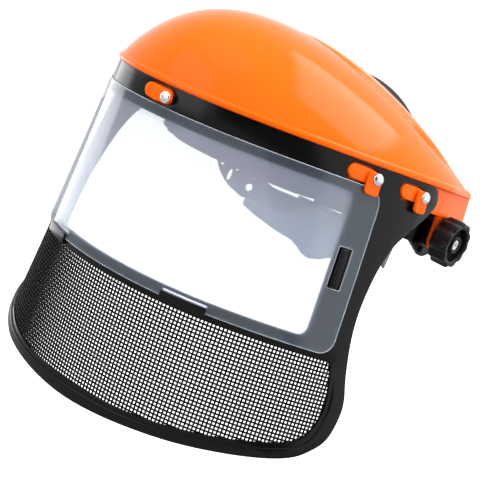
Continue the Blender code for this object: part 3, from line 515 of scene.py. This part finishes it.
HAZE_COLOUR = (0.70, 0.82, 0.98, 1)
ORANGE = plastic("orange_plastic", (0.93, 0.118, 0.0012), 0.13, mottle=0.02, specular=0.14)
BLACK = plastic("black_plastic", (0.0040, 0.0040, 0.0045), 0.17, mottle=0.2, specular=0.22)
SATIN = plastic("satin_black", (0.006, 0.006, 0.0065), 0.34, grain=0.00012, mottle=0.2, specular=0.2)
STRAP = plastic("strap_black", (0.005, 0.005, 0.005), 0.55, grain=0.00012, mottle=0.2, specular=0.1)
WIRE = plastic("black_wire", (0.004, 0.004, 0.004), 0.5, mottle=0.3, specular=0.1)
BAND = plastic("band_plastic", (0.046, 0.055, 0.068), 0.35, grain=0.0001, mottle=0.1)
PALE = plastic("grey_plastic", (0.16, 0.165, 0.17), 0.4, mottle=0.1)
STEEL = metal("polished_steel", (0.90, 0.91, 0.92), 0.20)
BRASS = metal("brass", (0.72, 0.52, 0.22), 0.25)
FOAM = foam("pad_facing", (0.10, 0.118, 0.14))
SHEET = clear_sheet("clear_sheet")
SHEET_EDGE = plastic("sheet_edge", (0.80, 0.84, 0.88), 0.25, mottle=0.03)


def put(obj, body, node):
    """Fixes an object to a body and hides the CAD node that it stands in for."""
    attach(obj, body)
    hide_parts(node)
    return obj


# ---------------------------------------------------------------- visor
def tapered_rim(points):
    """From flat (s, -out, z) to the wall, with the rim sinking into the frame near its upper ends."""
    sunk = RIM_SINK * (1 - ease(points[:, 2], *RIM_TAPER_Z))
    return wall(points[:, 0], points[:, 2], -points[:, 1] - sunk)


def below_window(outline):
    """The part of an outline below the window, as one open run from one side to the other."""
    low = [p for p in outline if p[1] < MESH_TOP - 0.002]

    def jump(k):
        return abs(low[k][0] - low[k - 1][0]) if low[k][1] > -0.12 else 0

    split = max(range(len(low)), key=jump)
    return low[split:] + low[:split]


def visor_frame():
    holes = [rounded_box(-WINDOW_HALF, WINDOW_HALF, WINDOW_BOTTOM, WINDOW_TOP, WINDOW_CORNER, WINDOW_CORNER),
             mesh_outline()]
    parts = []
    top = SHEET_OUT[1] + 0.0016
    for side in (-1, 1):
        left, right = sorted((side * HOOK_S[0], side * HOOK_S[1]))
        holes.append(rounded_box(left, right, *HOOK_CORE_Z, 0.0005, 0.0005, 3))
        foot = rounded_box(left, right, HOOK_Z[0], SHEET_BOTTOM - 0.0003, 0.0004, 0.0004, 3)
        lip = rounded_box(left, right, HOOK_Z[0] + 0.0001, HOOK_Z[1], 0.0004, 0.0004, 3)
        parts.append(plate(foot, [], (-0.001, top - 0.0003), 0.0002, 0.004))
        parts.append(plate(lip, [], (SHEET_OUT[1] + 0.0002, top), 0.0004, 0.004))
        left, right = sorted((side * SIDE_TAB_S[0], side * SIDE_TAB_S[1]))
        tab = rounded_box(left, right, *SIDE_TAB_Z, 0.0008, 0.0008, 4)
        parts.append(plate(tab, [], (-0.001, SIDE_TAB_RISE), 0.0006, 0.004))
    for station, s in KEY_STATIONS.items():
        slot = (BOSS_LENGTH + 2 * SLOT_CLEARANCE, BOSS_HEIGHT + 2 * SLOT_CLEARANCE)
        holes.append(obround((s, KEY_Z[station]), *slot))
    parts.append(plate(frame_outline(), holes, (-FRAME_THICK, 0.0), 0.0005, 0.004, cross=0.02))
    outer, inner = below_window(frame_outline()), below_window(mesh_outline(RIM_INSET))
    if (outer[0][0] > 0) != (inner[0][0] > 0):
        inner = inner[::-1]
    parts.append(plate(outer + inner[::-1], [], RIM_OUT, 0.0006, 0.004, segments=4, cross=0.004,
                       place=tapered_rim))
    put(new_object("frame_moulding", merged(parts), BLACK), "visor", "visor_frame")


def clear_window():
    holes = []
    for side in (-1, 1):
        left, right = sorted((side * SIDE_SLOT_S[0], side * SIDE_SLOT_S[1]))
        holes.append(rounded_box(left, right, *SIDE_SLOT_Z, 0.0008, 0.0008, 4))
    corners = (SHEET_CORNER_BOTTOM, SHEET_CORNER_TOP)
    edge = rounded_box(-SHEET_HALF, SHEET_HALF, SHEET_BOTTOM, SHEET_TOP, *corners, 12)
    sheet = plate(edge, holes, SHEET_OUT, 0.00015, 0.003, cross=0.02, segments=1, edge_material=True)
    obj = put(new_object("window_sheet", sheet, SHEET), "visor", "clear_window")
    obj.data.materials.append(SHEET_EDGE)


def woven_mesh():
    """Wires both ways, each passing over and under its neighbours; they are five-sided."""
    pitch_s, pitch_z = WIRE_PITCH
    half_width, half_thick, wave, middle, sides = 0.00067, 0.00060, 0.00032, -0.0016, 5
    outline = np.array(mesh_outline(0.0032))
    count_s = int(0.172 / pitch_s)
    rows = np.arange(MESH_TOP + 0.002, -0.173, -pitch_z)
    columns = np.arange(-count_s, count_s + 1) * pitch_s
    bm = bmesh.new()

    def wire(points, across):
        """points: (n, 3) flat positions along the wire; across: unit vector of its width."""
        ring = []
        for j in range(sides):
            turn = 2 * math.pi * j / sides
            moved = points + np.array(across) * half_width * math.cos(turn)
            moved[:, 1] += half_thick * math.sin(turn)
            ring.append([bm.verts.new(p) for p in wall_bend(moved)])
        for k in range(len(points) - 1):
            for j in range(sides):
                m = (j + 1) % sides
                bm.faces.new((ring[j][k], ring[m][k], ring[m][k + 1], ring[j][k + 1]))
        bm.faces.new([ring[j][0] for j in range(sides)])
        bm.faces.new([ring[j][-1] for j in reversed(range(sides))])

    def inside_span(fixed, axis):
        """Where a line at the fixed coordinate crosses the outline; moved a hair, to miss its corners."""
        a, b = outline, np.roll(outline, -1, 0)
        low, high = a[:, axis] - fixed - 1e-7, b[:, axis] - fixed - 1e-7
        hit = (low * high) < 0
        share = low[hit] / (low[hit] - high[hit])
        other = a[hit, 1 - axis] + share * (b[hit, 1 - axis] - a[hit, 1 - axis])
        return (other.min(), other.max()) if len(other) > 1 else (0.0, 0.0)

    z = np.array([r + d for r in rows for d in (0, -pitch_z / 2)])
    for i, s in enumerate(columns):
        span = inside_span(s, 0)
        phase = np.array([math.cos(math.pi * (k / 2 + i)) if k % 2 == 0 else 0 for k in range(len(z))])
        keep = (z > span[0]) & (z < span[1])
        if keep.sum() > 2:
            flat = np.stack([np.full(keep.sum(), s), -(middle + wave * phase[keep]), z[keep]], -1)
            wire(flat, (1, 0, 0))
    steps = np.arange(-2 * count_s, 2 * count_s + 1)
    s = steps * pitch_s / 2
    for k, z in enumerate(rows):
        span = inside_span(z, 1)
        phase = np.array([-math.cos(math.pi * ((n + 2 * count_s) / 2 + k)) if n % 2 == 0 else 0
                          for n in steps])
        keep = (s > span[0]) & (s < span[1])
        if keep.sum() > 2:
            flat = np.stack([s[keep], -(middle + wave * phase[keep]), np.full(keep.sum(), z)], -1)
            wire(flat, (0, 0, 1))
    bmesh.ops.recalc_face_normals(bm, faces=bm.faces)
    put(new_object("woven_mesh", bm, WIRE, 80), "visor", "mesh_panel")


# ---------------------------------------------------------------- crown
def crown_surface(shrink, rings=72, spokes=120):
    """Rows of points from the front to the rear edge, and how far each lies in front of that edge."""
    front, height = FRONT_Y - CROWN_OVERHANG + shrink, CROWN_HEIGHT - shrink
    angle = np.linspace(0, math.pi, spokes + 1)
    wide, tall = np.cos(angle), np.maximum(np.sin(angle), 0) ** CROWN_SECTION
    rear = CROWN_REAR_LOW_Y + (CROWN_REAR_TOP_Y - CROWN_REAR_LOW_Y) * tall ** CROWN_REAR_CURVE
    rear = rear - REAR_DIP * np.exp(-((np.sin(angle) - 0.50) / 0.12) ** 2)
    run = (np.linspace(0, 1, rings + 1) ** 1.6)[:, None]
    y = front + (rear[None] - front) * run
    plan_y = np.where(y < 0, y * FRONT_Y / front, y)
    half = np.maximum(np.interp(plan_y, PLAN_Y, PLAN_X) + CROWN_OVERHANG - shrink, 0)
    half[0] = 0
    reach = np.clip((CROWN_PEAK_Y - y) / (CROWN_PEAK_Y - front), 0, 1)
    fall = 1 - CROWN_FALL * np.maximum(y - CROWN_PEAK_Y, 0) ** 2
    rise = height * fall * np.maximum(1 - reach ** CROWN_PROFILE, 0) ** (1 / CROWN_PROFILE)
    base = BEAD_Z[0] - BROW_DIP * (y / 0.1) ** 2
    return np.stack([half * wide, y, base + rise * tall], -1), rear[None] - y


def crown_shell():
    """The dome with its raised rear strip and groove, the bead, the skirt, the ears and the bosses."""
    outer, behind = crown_surface(0.0)
    inner, _ = crown_surface(CROWN_THICK)
    along = np.gradient(outer, axis=0)
    across = np.gradient(outer, axis=1)
    normal = np.cross(along, across)
    normal /= np.linalg.norm(normal, axis=-1, keepdims=True) + 1e-12
    normal *= np.sign(np.sum(normal * (outer - np.array([0, -0.09, 0.0])), -1, keepdims=True) + 1e-9)
    spokes = outer.shape[1]
    share = np.sin(np.linspace(0, math.pi, spokes))[None]   # 0 at the sides, 1 over the middle of the head
    width = 0.0010 + 0.0250 * np.clip((share - 0.46) / 0.44, 0, 1)
    lip = ease(width - behind, -0.0020, 0.0020)
    groove = np.exp(-((behind - width - 0.0052) / 0.0046) ** 2)
    lift = (LIP_RISE * lip - GROOVE_DEPTH * groove) * ease(share, 0.40, 0.66)
    outer = outer + normal * lift[..., None]
    inner = inner + normal * lift[..., None]
    corner = np.clip((outer[..., 1] + 0.012) / 0.040, 0, 1) * np.clip((0.060 - outer[..., 2]) / 0.030, 0, 1)
    inset = CORNER_INSET * ease(corner, 0, 1) * np.sign(outer[..., 0])
    outer[..., 0] -= inset
    inner[..., 0] -= inset
    parts = [grid_shell(outer, inner)]
    section = [(out, BEAD_Z[0] + rise) for out, rise in
               ((-0.0022, 0), (0.0009, 0), (0.0015, 0.0006), (0.0016, 0.0016), (0.0014, 0.0027),
                (0.0008, 0.0037), (0.0001, 0.0043), (-0.0022, 0.0045))]
    parts.append(wall_sweep(section, BEAD_END, 260, BEAD_FADE))
    skirt = rounded_box(-SKIRT_END, SKIRT_END, SKIRT_BOTTOM, BEAD_Z[1] - 0.0012, 0.003, 0.0006, 5)
    parts.append(plate(skirt, [], SKIRT_OUT, 0.0006, 0.004, segments=3))
    for side in (-1, 1):
        tongue = [(EAR_SHOULDER, 0.0165), (-EAR_SHOULDER, 0.0165)] + arc((0, 0), EAR_RADIUS, 188, 352, 60)
        parts.append(plate(tongue, [circle((0, 0), EAR_BORE, 40)], EAR_X, 0.0007, place=beside(side)))
    for station in KEY_STATIONS:
        boss = obround((0, 0), BOSS_LENGTH, BOSS_HEIGHT)
        parts.append(plate(boss, [], (SKIRT_OUT[0] + 0.0005, BOSS_OUT), 0.0005, place=on_station(station)))
    put(new_object("crown_moulding", merged(parts), ORANGE, 35), "visor", "crown_shell")


def wall_sweep(section, end, steps, fade):
    """A closed section of (out, z) pairs carried along the wall, sinking near its ends."""
    rows = []
    for s in np.linspace(-end, end, steps + 1):
        sunk = fade[2] * ease(abs(s), fade[0], fade[1])
        rows.append(wall(s, [z for _, z in section], [out - sunk for out, _ in section]))
    return tube(rows)


# ---------------------------------------------------------------- turn keys and rivets
def lever_outline(station):
    """Outline about the rivet. The side levers hang down, and the front one points forward along its boss."""
    if station == "front":
        half = BOSS_HEIGHT / 2
        outline = arc((-KEY_REACH + 0.0025, half - 0.0025), 0.0025, 90, 180, 8)
        outline += arc((-KEY_REACH + 0.0025, 0.0025 - half), 0.0025, 180, 270, 8)
        outline += [(-0.0060, -KEY_NECK - 0.0001), (-0.0030, -KEY_NECK)]
        outline += arc((0, 0), KEY_NECK, -90, 90, 16)
        return outline + [(-0.0030, KEY_NECK), (-0.0060, KEY_NECK + 0.0001)]
    outline = arc((-KEY_AHEAD + 0.0025, -KEY_REACH + 0.0025), 0.0025, 180, 270, 8)
    outline += arc((KEY_BEHIND - 0.0025, -KEY_REACH + 0.0025), 0.0025, -90, 0, 8)
    outline += arc((0, 0), KEY_BEHIND, 0, 90, 12)
    return outline + arc((-KEY_AHEAD + 0.0025, KEY_BEHIND - 0.0025), 0.0025, 90, 180, 8)


def turn_keys():
    for station in KEY_STATIONS:
        place = on_station(station)
        hole = circle((RIVET_OFFSET, 0), 0.0023, 24)
        outline = [(RIVET_OFFSET + u, v) for u, v in lever_outline(station)]
        lever = plate(outline, [hole], (KEY_BOTTOM, KEY_BOTTOM + KEY_THICK), 0.0007, place=place, segments=4)
        put(new_object("lever_" + station, lever, ORANGE), "key_" + station, "turn_key_" + station)
        head = KEY_BOTTOM + KEY_THICK + 0.0003
        foot = BOSS_OUT - RIVET_DEPTH
        profile = [(0.0, foot), (RIVET_SHANK, foot), (RIVET_SHANK, head), (RIVET_HEAD, head)]
        for t in np.linspace(0.0, math.pi / 2, 9):
            rise = 0.0003 + RIVET_HEAD_HEIGHT * 0.8 * math.sin(t)
            profile.append((RIVET_HEAD * math.cos(t) * 0.98, head + rise))
        spot = lambda u, v, w, place=place: place(np.array([[RIVET_OFFSET + u, -w, v]]))[0]
        put(new_object("rivet_head_" + station, turned(profile, spot, 48), STEEL, 50), "visor",
            "rivet_" + station)


# ---------------------------------------------------------------- clamp knobs
def clamp_knob(side, name):
    place = on_axis(side)
    back, front = KNOB_X
    lobes = 11

    def lobed(radius, angle):
        if radius < 0.0125:
            return radius
        wave = math.cos(lobes * angle)
        depth = 0.0007 if wave > 0 else 0.0011
        return radius + depth * wave * min((radius - 0.0125) / 0.0028, 1)

    profile = [(0.0049, back), (0.0146, back), (0.0154, back + 0.0006), (0.0157, back + 0.0016),
               (0.0158, front - 0.0016), (0.0154, front - 0.0005), (0.0147, front), (0.0126, front),
               (0.0119, front - 0.0003), (0.0116, front - 0.0010), (0.0112, front - 0.0048),
               (0.0064, front - 0.0048), (0.0062, front - 0.0046), (0.0060, front - 0.0012),
               (0.0057, front - 0.0009), (0.0044, front - 0.0009), (0.0041, front - 0.0012),
               (0.0041, front - 0.0066), (0.0049, front - 0.0066)]
    knob = turned(profile, place, lobes * 20, lobed)
    put(new_object("knob_" + name, knob, SATIN, 45), name + "_knob", "clamp_knob_" + name)
    end = SCREW_END

    def hexed(radius, angle):
        if radius > 0.0016:
            return radius
        sector = (angle + math.pi / 6) % (math.pi / 3) - math.pi / 6
        return radius / math.cos(sector)

    shank = [(0.0, 0.1036), (0.0058, 0.1036), (0.0058, 0.1072), (0.0053, 0.1075), (0.0029, 0.1075),
             (0.0029, end - 0.0016), (0.0038, end - 0.0016), (0.0038, end - 0.0004), (0.0034, end),
             (0.0016, end), (0.0015, end - 0.0002), (0.0015, end - 0.0008), (0.0, end - 0.0008)]
    put(new_object("screw_" + name, turned(shank, place, 48, hexed), STEEL, 40), "headgear",
        "pivot_screw_" + name)


# ---------------------------------------------------------------- headgear
def ring(points):
    """From flat (PER_RADIAN * angle, -out, z) to the head ring; the angle runs from the front."""
    angle = points[:, 0] / PER_RADIAN
    length = np.where(np.cos(angle) > 0, RING_FRONT, RING_REAR)
    nx, ny = np.sin(angle) / RING_HALF_WIDTH, -np.cos(angle) / length
    size = np.hypot(nx, ny)
    x, y, out = RING_HALF_WIDTH * np.sin(angle), RING_CENTRE_Y - length * np.cos(angle), -points[:, 1]
    return np.stack([x + nx / size * out, y + ny / size * out, points[:, 2]], -1)


def strip_outline(start, end, bottom, top, count=72):
    """Outline of a band between two angles; bottom and top give the height at an angle in degrees."""
    angles = np.linspace(start, end, count)
    flat = np.radians(angles) * PER_RADIAN
    low = [(u, float(bottom(a))) for u, a in zip(flat, angles)]
    return low + [(u, float(top(a))) for u, a in zip(flat[::-1], angles[::-1])]


def band_bottom(angle):
    return BAND_BOTTOM[0] + (BAND_BOTTOM[1] - BAND_BOTTOM[0]) * ease(math.radians(abs(angle)), 0.7, 1.15)


def band_top(angle):
    return BAND_TOP[0] + (BAND_TOP[1] - BAND_TOP[0]) * ease(math.radians(abs(angle)), 0.5, 1.3)


def arm_bottom(angle):
    return np.interp(abs(angle), (93, 95, 99, 102.6, 108.4, 117.2, 126, 134, 144),
                     (-0.0145, -0.0184, -0.0250, -0.0295, -0.0350, -0.0398, -0.0402, -0.0412, REAR_BOTTOM))


def arm_top(angle):
    return 0.006 + (REAR_TOP - 0.006) * ease(abs(angle), 98, 135)


def head_bands():
    band = plate(strip_outline(-BAND_END, BAND_END, band_bottom, band_top), [], (0.0, BAND_THICK), 0.0007,
                 0.004, place=ring)
    put(new_object("band_forehead", band, BAND), "headgear", "forehead_band")
    for side, name in ((1, "left"), (-1, "right")):
        def bottom(angle):
            rack = REAR_TOP - RACK_HEIGHT if side > 0 else REAR_BOTTOM
            return arm_bottom(angle) + (rack - arm_bottom(angle)) * ease(abs(angle), 152, 157.7)

        def top(angle):
            rack = REAR_TOP if side > 0 else REAR_BOTTOM + RACK_HEIGHT
            return arm_top(angle) + (rack - arm_top(angle)) * ease(abs(angle), 152, 157.7)

        outline = strip_outline(side * (BAND_END + 0.25), side * 192, bottom, top, 100)
        holes = []
        for angle, z, wide, tall in ((99.6, -0.0190, 0.0024, 0.0024), (109.7, -0.0196, 0.0026, 0.0022),
                                     (106.5, -0.0268, 0.0022, 0.0046), (120, -0.0310, 0.0032, 0.0028)):
            u = side * math.radians(angle) * PER_RADIAN
            holes.append([(u + wide * c * 1.08, z + tall * v) for c, v in circle((0, 0), 1.0, 28)])
        arm = plate(outline, holes, (0.0, BAND_THICK - 0.0004), 0.0005, 0.003, place=ring)
        put(new_object("arm_" + name, arm, BAND), "headgear", "rear_band_" + name)


def ring_sweep(section, start, end, steps):
    """A closed section of (z, out) pairs carried along the head ring."""
    angles = np.radians(np.linspace(start, end, steps + 1))
    return tube([ring(np.array([(angle * PER_RADIAN, -out, z) for z, out in section])) for angle in angles])


def on_nape(u, v, w):
    """From a turned profile to the size wheel's axis, with its length to the rear."""
    return Vector((u, RING_CENTRE_Y + RING_REAR + w, v + PINION_Z))


def nape_adjuster():
    low, high, inside, face = REAR_BOTTOM - 0.0023, REAR_TOP + 0.0023, 0.0036, 0.0056
    section = [(low, -0.0012), (low, face), (high, face), (high, -0.0012), (high - 0.002, -0.0012),
               (high - 0.002, inside), (low + 0.002, inside), (low + 0.002, -0.0012)]
    cover = ring_sweep(rounded_section(section, 0.0009), 147, 213, 48)
    put(new_object("cover_ratchet", cover, BAND), "headgear", "ratchet_cover")

    def ribbed(radius, angle):
        if radius < 0.0165:
            return radius
        return radius + 0.0006 * math.cos(24 * angle) * min((radius - 0.0165) / 0.002, 1)

    profile = [(0.0, 0.0078), (0.0186, 0.0078), (0.0193, 0.0084), (0.0195, 0.0094), (0.0195, 0.0176),
               (0.0191, 0.0186), (0.0180, 0.0190), (0.0150, 0.0190), (0.0140, 0.0187), (0.0136, 0.0180),
               (0.0132, 0.0170), (0.0125, 0.0165), (0.0, 0.0165)]
    wheel = turned(profile, on_nape, 240, ribbed)
    put(new_object("wheel_size", wheel, BAND, 45), "size_wheel", "ratchet_knob")


def rounded_section(section, radius, steps=4):
    """Rounds the corners of a closed section that may have negative values."""
    result = []
    count = len(section)
    for k in range(count):
        here, before, after = (Vector(section[(k + d) % count]) for d in (0, -1, 1))
        reach = min(radius, (before - here).length * 0.45, (after - here).length * 0.45)
        a = here + (before - here).normalized() * reach
        b = here + (after - here).normalized() * reach
        for t in np.linspace(0, 1, steps + 1):
            point = a * (1 - t) ** 2 + here * 2 * t * (1 - t) + b * t * t
            result.append((point.x, point.y))
    return result


def strap_bend(points):
    """From flat (PER_RADIAN * angle, -out, y) to the arch over the head, from the wearer's left."""
    angle, out = points[:, 0] / PER_RADIAN, -points[:, 1]
    nx, nz = np.cos(angle) / STRAP_HALF, np.sin(angle) / STRAP_RISE
    size = np.hypot(nx, nz)
    return np.stack([STRAP_HALF * np.cos(angle) + nx / size * out, points[:, 2],
                     STRAP_RISE * np.sin(angle) + nz / size * out], -1)


def top_straps():
    low, high = STRAP_Y - STRAP_WIDTH / 2, STRAP_Y + STRAP_WIDTH / 2
    halves = (("left", -5, 112, -STRAP_THICK), ("right", 185, 76, -2 * STRAP_THICK - 0.0003))
    for name, start, end, out in halves:
        u0, u1 = sorted((math.radians(start) * PER_RADIAN, math.radians(end) * PER_RADIAN))
        outline = rounded_box(u0, u1, low, high, 0.004, 0.004, 8)
        holes = [circle((math.radians(80 + 6.5 * k) * PER_RADIAN, STRAP_Y), 0.0024, 28) for k in range(5)]
        strap = plate(outline, holes, (out, out + STRAP_THICK), 0.0005, 0.003, place=strap_bend)
        put(new_object("strap_" + name, strap, STRAP), "headgear", "top_strap_" + name)


def pivot_plates():
    for side, name in ((1, "left"), (-1, "right")):
        place = beside(side)
        parts = []
        outline = arc((0, 0), PLATE_RADIUS, -104, 104, 60) + [(-0.0215, 0.0093), (-0.0215, -0.0093)]
        parts.append(plate(outline, [circle((0, 0), 0.0032, 32)], PLATE_X, 0.0006, place=place))
        hub = circle((0, 0), PLATE_HUB[0], 64)
        parts.append(plate(hub, [circle((0, 0), 0.0032, 32)], (0.1100, PLATE_HUB[1]), 0.0005, place=place))
        y, z, radius, end = PLATE_STUD
        parts.append(plate(circle((y, z), radius, 32), [], (0.1100, end), 0.0006, place=place))
        near, far = BAND_THICK + 0.0005, BAND_THICK + 0.0035
        inner = [(PLATE_X[0], -0.010), (PLATE_X[0], -0.022)]
        outer = [(PLATE_X[1], -0.010), (PLATE_X[1], -0.0235)]
        for angle in np.linspace(67, 52, 16):
            ends = np.radians([angle, angle + 1]) * PER_RADIAN
            beyond = ring(np.array([[ends[0], -near, 0], [ends[1], -far, 0]]))
            inner.append(tuple(beyond[0][:2]))
            outer.append(tuple(beyond[1][:2]))
        bar = [(0, -0.0084), (0.2, -0.009), (0.8, -0.009), (1, -0.0084), (1, 0.0084), (0.8, 0.009),
               (0.2, 0.009), (0, 0.0084)]
        parts.append(tube([[(side * (ix + (ox - ix) * t), iy + (oy - iy) * t, z) for t, z in bar]
                           for (ix, iy), (ox, oy) in zip(inner, outer)]))
        put(new_object("pivot_" + name, merged(parts), SATIN), "headgear", "pivot_plate_" + name)


def pad(name, start, end, bottom, top, columns, rows, thickness, back, node, seams):
    """A padded strip on the head side of the ring: crowned, pulled in at its edges and along its seams.

    A seam gives the distance from it, in metres, at an angle in degrees and a height.
    """
    angles = np.linspace(start, end, columns)
    across = np.linspace(0, 1, rows)
    near, far = np.zeros((columns, rows, 3)), np.zeros((columns, rows, 3))
    for i, angle in enumerate(angles):
        low, high = float(bottom(angle)), float(top(angle))
        ends = min(angle - start, end - angle) / (end - start) * 2
        close = min(1.0, (ends / 0.05)) ** 0.5 if ends > 0 else 0.0
        for j, v in enumerate(across):
            crown = (1 - abs(2 * v - 1) ** 3.2) ** 0.5 * close
            z = low + (high - low) * v
            pull = 1.0
            for seam in seams:
                distance = seam(angle, z)
                pull = min(pull, 0.42 + 0.58 * min(abs(distance) / 0.0042, 1.0) ** 0.6)
            swell = thickness * crown * pull
            wave = 0.00022 * math.sin(angle * 1.9) * crown
            u = math.radians(angle) * PER_RADIAN
            near[i, j] = (u, -(back - max(swell + wave, 0.0004)), z)
            far[i, j] = (u, -back, z)
    shell = grid_shell(ring(near.reshape(-1, 3)).reshape(columns, rows, 3),
                       ring(far.reshape(-1, 3)).reshape(columns, rows, 3))
    obj = put(new_object(name, shell, FOAM, 60), "headgear", node)
    return obj


def pads():
    pad("pad_brow", -68, 68, lambda a: band_bottom(a) + 0.002, lambda a: band_top(a) - 0.002, 150, 26,
        PAD_THICK, -PAD_GAP, "brow_pad",
        [lambda a, z: z - (band_bottom(a) + 0.0055), lambda a, z: z - (band_top(a) - 0.0055)]
        + [lambda a, z, at=at: (a - at) * 0.0019 for at in (-51, -34, -17, 0, 17, 34, 51)])
    stations = (118.5, 126.9, 140.9, 152.0, 157.0, 161.0, 166.3, 172.8, 180.0)
    lower = (-0.0446, -0.0491, -0.0544, -0.0565, -0.0595, -0.0632, -0.0645, -0.0618, -0.0560)
    upper_at = (118.5, 144.0, 149.0, 153.0, 180.0)
    upper = (-0.0395, -0.0410, -0.0330, -0.0262, -0.0262)
    front = lambda a: 180 - abs(a - 180)
    pad("pad_nape", 118.5, 241.5, lambda a: np.interp(front(a), stations, lower),
        lambda a: np.interp(front(a), upper_at, upper), 190, 34, PAD_THICK, -0.0039, "nape_pad",
        [lambda a, z: z - np.interp(front(a), (118, 153, 180), (-0.0459, -0.0452, -0.0419)),
         lambda a, z: (front(a) - (148.5 + (-0.033 - z) * 420)) * 0.0016])


visor_frame()
clear_window()
woven_mesh()
crown_shell()
turn_keys()
clamp_knob(1, "left")
clamp_knob(-1, "right")
head_bands()
nape_adjuster()
top_straps()
pivot_plates()
pads()

# CAD nodes that keep their own shape
LOOKS = {"ratchet_housing": BAND, "strap_peg": SATIN, "friction_washer_left": SATIN,
         "friction_washer_right": SATIN, "knob_nut_left": BRASS, "knob_nut_right": BRASS,
         "drive_pinion": PALE}
for node, look in LOOKS.items():
    mesh = frame["nodes"][node].data
    mesh.materials.clear()
    mesh.materials.append(look)


# ---------------------------------------------------------------- stage
DARK_SIDE = (46, -3, 31, 39)   # azimuth, elevation, and the half angles where it starts and ends
FLOOR_GLOW = (0.44, 1.6)       # as the object sees it, and as the camera does
FLOOR_Z, LAMP_TARGET = -2.5, (0, -0.08, -0.03)
CAMERA_TURN, CAMERA_TILT, CAMERA_ROLL = 33.60, 7.22, 23.41
CAMERA_AT = (-0.041223, -0.054916, 0.954289)   # right, up and back, in the camera's own axes


def towards(azimuth, elevation):
    """Unit vector at angles in degrees; the azimuth runs from the front towards the wearer's left."""
    a, e = math.radians(azimuth), math.radians(elevation)
    return Vector((math.sin(a) * math.cos(e), -math.cos(a) * math.cos(e), math.sin(e)))


def floor():
    bm = bmesh.new()
    bmesh.ops.create_grid(bm, x_segments=8, y_segments=8, size=30.0)
    paint = plastic("floor_paint", (0.12, 0.12, 0.12), 0.9, mottle=0.01, specular=0.1)
    nodes, links = nodes_of(paint)
    shader = nodes["Principled BSDF"]
    shader.inputs["Emission Color"].default_value = (1, 1, 1, 1)
    seen = add(nodes, "LightPath").outputs["Is Camera Ray"]
    links.new(spread(nodes, links, seen, *FLOOR_GLOW), shader.inputs["Emission Strength"])
    obj = new_object("floor", bm, paint)
    obj.location = (0, 0, FLOOR_Z)


def world():
    """A white studio with a darker side round the camera."""
    scene = bpy.context.scene
    scene.world = bpy.data.worlds.new("studio")
    scene.world.use_nodes = True
    nodes, links = scene.world.node_tree.nodes, scene.world.node_tree.links
    seen = nodes["Background"]
    seen.inputs["Color"].default_value = (1, 1, 1, 1)
    seen.inputs["Strength"].default_value = 1.45
    place = add(nodes, "TexCoord")
    lean = add(nodes, "VectorMath", {1: towards(*DARK_SIDE[:2])}, operation="DOT_PRODUCT")
    links.new(place.outputs["Generated"], lean.inputs[0])
    share = add(nodes, "MapRange", {"From Min": math.cos(math.radians(DARK_SIDE[3])),
                                    "From Max": math.cos(math.radians(DARK_SIDE[2])),
                                    "To Min": 1.1, "To Max": 0.01}, interpolation_type="SMOOTHSTEP")
    links.new(lean.outputs["Value"], share.inputs["Value"])
    lit = add(nodes, "Background", {"Color": (1, 1, 1, 1)})
    links.new(share.outputs["Result"], lit.inputs["Strength"])
    path = add(nodes, "LightPath").outputs["Is Camera Ray"]
    mix = mixed(nodes, links, path, lit.outputs["Background"], seen.outputs["Background"])
    links.new(mix, nodes["World Output"].inputs["Surface"])


def softbox(name, azimuth, elevation, distance, size, power, mirrored_in_gloss=True):
    """A rectangular lamp that faces the visor."""
    light = bpy.data.lights.new(name, "AREA")
    light.shape = "RECTANGLE"
    light.size, light.size_y = size
    light.energy = power
    obj = bpy.data.objects.new(name, light)
    way = towards(azimuth, elevation)
    obj.location = Vector(LAMP_TARGET) + way * distance
    obj.rotation_euler = way.to_track_quat("Z", "Y").to_euler()
    bpy.context.scene.collection.objects.link(obj)
    obj.visible_glossy = mirrored_in_gloss


def camera():
    """The viewpoint: to the wearer's front left, a little above, and rolled."""
    turn, roll = math.radians(CAMERA_TURN), math.radians(CAMERA_ROLL)
    back = towards(CAMERA_TURN, CAMERA_TILT)
    right = Vector((math.cos(turn), math.sin(turn), 0))
    up = back.cross(right)
    r = right * math.cos(roll) + up * math.sin(roll)
    u = up * math.cos(roll) - right * math.sin(roll)
    data = bpy.data.cameras.new("camera")
    data.sensor_width = 36
    data.lens = 94.64
    data.clip_start, data.clip_end = 0.05, 50
    obj = bpy.data.objects.new("camera", data)
    place = CAMERA_AT[0] * r + CAMERA_AT[1] * u + CAMERA_AT[2] * back
    obj.matrix_world = Matrix([[r[k], u[k], back[k], place[k]] for k in range(3)] + [[0, 0, 0, 1]])
    bpy.context.scene.collection.objects.link(obj)
    bpy.context.scene.camera = obj


floor()
world()
softbox("key", -10, 62, 1.8, (1.2, 1.2), 26, False)
softbox("front", -17, 14, 1.6, (1.16, 1.50), 8.2)
softbox("left", -95, -6, 1.6, (1.0, 0.6), 4.5)
softbox("right", 105, 15, 1.8, (1.0, 1.0), 14, False)
softbox("back", 140, 60, 1.6, (1.3, 0.75), 13)
softbox("fill", 205, -8, 1.9, (1.5, 1.5), 30, False)
camera()
bpy.context.scene.view_settings.view_transform = "Standard"
